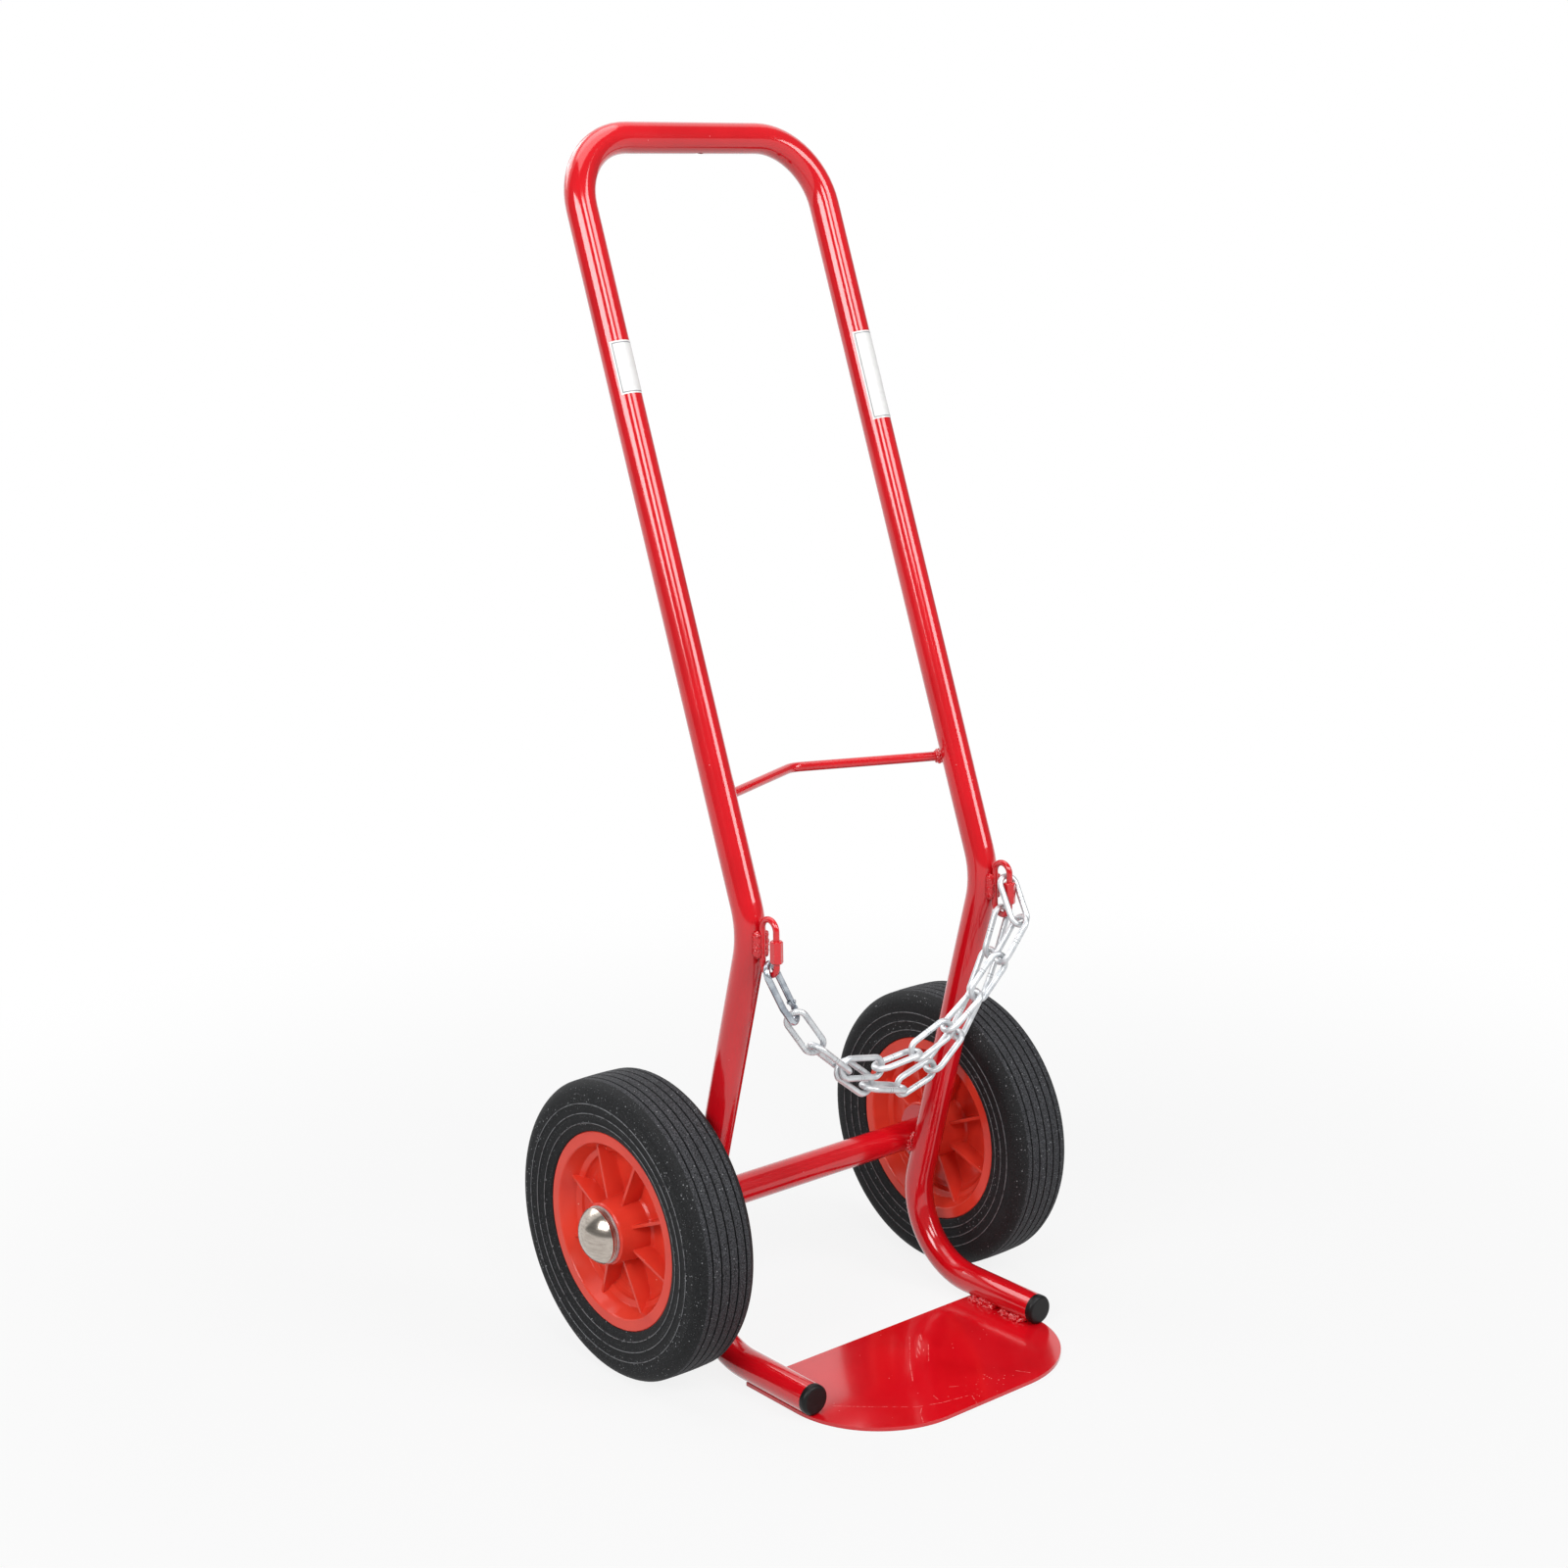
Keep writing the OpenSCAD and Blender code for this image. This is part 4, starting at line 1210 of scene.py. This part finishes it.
@dataclass
class RailSticker:
    """A thin blank sticker round the front of an upper rail: the left one for a side of -1."""

    name: str
    side: float
    low: float
    high: float
    half_turn: float = 52.0
    tube_radius: float = 12.5 * MM
    rail_lean: float = 19.8
    film: float = 0.12 * MM
    columns: int = 48
    rows: int = 120

    def rail(self) -> tuple[Vector, Vector]:
        """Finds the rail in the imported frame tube.

        Returns:
            The top of the rail's middle line, and the way down along it.
        """
        _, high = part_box("frame_tube")
        top = (high - Vector((self.tube_radius,) * 3)) * Vector((self.side, 1, 1))
        lean = math.radians(self.rail_lean)
        return top, Vector((0, -math.sin(lean), -math.cos(lean)))

    def surface(self) -> Mesh:
        """Bends a grid round the front of the rail.

        Returns:
            The mesh, which keeps how far each point is from the sticker's edge.
        """
        top, down = self.rail()
        across = Vector((1, 0, 0))
        front = down.cross(across)
        radius = self.tube_radius + self.film
        half_width = radius * math.radians(self.half_turn)
        half_height = (self.high - self.low) / 2 / -down.z
        work = bmesh.new()
        away = work.verts.layers.float.new(EDGE_AWAY)
        grid = []
        for row in range(self.rows + 1):
            height = self.high + (self.low - self.high) * row / self.rows
            middle = top + down * ((height - top.z) / down.z)
            row_away = half_height * (1 - abs(2 * row / self.rows - 1))
            line = []
            for column in range(self.columns + 1):
                share = 2 * column / self.columns - 1
                angle = math.radians(self.half_turn * share)
                spoke = math.sin(angle) * across + math.cos(angle) * front
                vertex = work.verts.new(middle + radius * spoke)
                vertex[away] = min(row_away, half_width * (1 - abs(share)))
                line.append(vertex)
            grid.append(line)
        for upper, lower in zip(grid, grid[1:]):
            for a, b, c, d in zip(upper, upper[1:], lower[1:], lower):
                work.faces.new((a, d, c, b)).smooth = True
        mesh = bpy.data.meshes.new(self.name)
        work.to_mesh(mesh)
        work.free()
        return mesh

    def build(self, finishes: Finishes) -> Object:
        """Builds the sticker on its rail.

        Args:
            finishes: The finishes of the trolley.

        Returns:
            The sticker.
        """
        piece = new_object(self.name, self.surface())
        piece.data.materials.append(finishes.vinyl)
        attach(piece, Body.FRAME.value)
        return piece


@dataclass(frozen=True)
class LightBox:
    """An upright soft box: its turn from the front, width, lower and upper edge, and glow."""

    name: str
    azimuth: float
    width: float
    low: float
    high: float
    glow: float


@dataclass
class Studio:
    """The pale floor, the soft lamps and the camera.

    Attributes:
        floor_glow: Share of white paper in the floor near the trolley.
        paper_way: The way to the middle of the paper behind the trolley.
        paper_edge: Where the paper starts and is full, as a product with that way.
    """

    axle: Vector
    floor_half: float = 14.0
    floor_colour: Colour = (0.5, 0.5, 0.5)
    floor_roughness: float = 0.9
    floor_glow: float = 0.86
    floor_fade: Span = (0.45, 1.4)
    sky_light: float = 0.11
    room_light: float = 0.22
    paper_way: Sequence[float] = (0.2, 0.84, 0.5)
    paper_edge: Span = (0.52, 0.58)
    boxes: Sequence[LightBox] = (
        LightBox("left_strip", -73.0, 1.7, 1.5, 2.5, 9.4),
        LightBox("middle_strip", -22.0, 0.9, 2.1, 3.0, 9.5),
        LightBox("right_strip", 21.0, 1.3, 1.25, 2.9, 7.2),
        LightBox("back_box", -168.0, 2.2, 1.7, 3.0, 3.2),
    )
    box_away: float = 2.7
    top_place: Sequence[float] = (0.0, 0.2, 3.4)
    top_side: float = 2.4
    top_glow: float = 2.1
    aim: Sequence[float] = (0.0, 0.0, 0.6)
    lens: float = 57.02
    sensor: float = 36.0
    clip: Span = (0.05, 60.0)
    eye_from_axle: Sequence[float] = (-1.26705, -1.53773, 0.79903)
    azimuth: float = -39.275
    elevation: float = 13.014
    roll: float = -0.942

    def floor(self) -> None:
        """Lays a large pale floor that fades to white away from the trolley."""
        half = self.floor_half
        mesh = bpy.data.meshes.new("floor")
        corners = [(-half, -half, 0), (half, -half, 0), (half, half, 0), (-half, half, 0)]
        mesh.from_pydata(corners, [], [(0, 1, 2, 3)])
        graph = MaterialGraph("studio_floor")
        graph.finish({
            "Base Color": self.floor_colour,
            "Roughness": self.floor_roughness,
            "Specular IOR Level": 0.0,
        })
        far = 1 - graph.spot((0.0, 0.0), *self.floor_fade)
        share = graph.seen() * (self.floor_glow + (1 - self.floor_glow) * far)
        paper = graph.add("ShaderNodeEmission", None, {"Color": WHITE})
        graph.show(graph.add("ShaderNodeMixShader", None, {0: share, 1: graph.lit, 2: paper}))
        mesh.materials.append(graph.material)
        floor = new_object("floor", mesh)

    def sky(self) -> None:
        """Sets a white background, which reflections meet behind the trolley, and a weaker even light."""
        world = bpy.data.worlds.new("studio")
        bpy.context.scene.world = world
        world.use_nodes = True
        graph = ShaderGraph(world.node_tree)
        camera = graph.add("ShaderNodeLightPath", out="Is Camera Ray")
        way = graph.add("ShaderNodeTexCoord", out="Generated")
        settings = {"operation": "DOT_PRODUCT"}
        paper = graph.add("ShaderNodeVectorMath", settings, {0: way, 1: self.paper_way}, "Value")
        room = self.room_light + (1 - self.room_light) * paper.ease(*self.paper_edge)
        seen = graph.seen()
        strength = seen * camera.larger(room) + (1 - seen) * self.sky_light
        back = graph.add("ShaderNodeBackground", None, {"Color": WHITE, "Strength": strength})
        graph.node("ShaderNodeOutputWorld", None, {"Surface": back})

    def lamp(self, name: str, place: Sequence[float], size: tuple[float, float], glow: float) -> None:
        """Hangs a soft box that faces the trolley.

        Args:
            name: Name of the lamp.
            place: Where it hangs.
            size: Its width and height.
            glow: How bright its face is, where 1 is white.
        """
        data = bpy.data.lights.new(name, "AREA")
        data.shape = "RECTANGLE"
        data.size, data.size_y = size
        data.energy = math.pi * size[0] * size[1] * glow
        lamp = new_object(name, data)
        lamp.location = place
        lamp.rotation_euler = (Vector(self.aim) - lamp.location).to_track_quat("-Z", "Y").to_euler()
        lamp.visible_camera = False

    def lamps(self) -> None:
        """Hangs one soft box overhead, and upright boxes round the trolley and above it."""
        self.lamp("top_box", self.top_place, (self.top_side, self.top_side), self.top_glow)
        for box in self.boxes:
            turn = math.radians(box.azimuth)
            middle = (box.low + box.high) / 2
            tilt = math.atan2(middle - self.aim[2], self.box_away)
            place = (self.box_away * math.sin(turn), -self.box_away * math.cos(turn), middle)
            self.lamp(box.name, place, (box.width, (box.high - box.low) / math.cos(tilt)), box.glow)

    def camera(self) -> None:
        """Sets the camera to the photograph's point of view."""
        data = bpy.data.cameras.new("camera")
        data.lens = self.lens
        data.sensor_width = self.sensor
        data.clip_start, data.clip_end = self.clip
        azimuth, elevation, roll = (math.radians(a) for a in (self.azimuth, self.elevation, self.roll))
        back = Vector((
            math.sin(azimuth) * math.cos(elevation),
            -math.cos(azimuth) * math.cos(elevation),
            math.sin(elevation),
        ))
        level = Vector((math.cos(azimuth), math.sin(azimuth), 0))
        right = level * math.cos(roll) + back.cross(level) * math.sin(roll)
        turn = Matrix((right, back.cross(right), back)).transposed()
        eye = self.axle + Vector(self.eye_from_axle)
        camera = new_object("camera", data)
        camera.matrix_world = Matrix.Translation(eye) @ turn.to_4x4()
        bpy.context.scene.camera = camera

    def build(self) -> None:
        """Builds the whole studio."""
        bpy.context.scene.view_settings.view_transform = "Standard"
        self.camera()
        self.floor()
        self.sky()
        self.lamps()


def middle_of(node: str) -> Vector:
    """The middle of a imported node's box."""
    low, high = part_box(node)
    return (Vector(low) + Vector(high)) / 2


def main() -> None:
    """Builds the trolley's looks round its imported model, then the studio."""
    logging.basicConfig(level=logging.INFO, format="%(name)s: %(message)s")
    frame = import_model()
    axle = middle_of("axle_shaft")
    finishes = Finishes(axle, middle_of("tyre_right").x)
    LOG.info("dressed nodes: %d", finishes.dress(frame))
    link_nodes = [n for n in frame["nodes"] if "_link_" in n and not n.startswith("quick")]
    chain = HoldChain(sorted(link_nodes)).build(frame, finishes)
    LOG.info("%s: %d faces", chain.name, len(chain.data.polygons))
    for beads in WeldBeads().build(frame, finishes):
        LOG.info("%s: %d faces", beads.name, len(beads.data.polygons))
    for sticker in (
        RailSticker("sticker_left", side=-1, low=784 * MM, high=824 * MM),
        RailSticker("sticker_right", side=1, low=750 * MM, high=821 * MM),
    ):
        LOG.info("%s", sticker.build(finishes).name)
    Studio(axle).build()


if __name__ == "__main__":
    main()
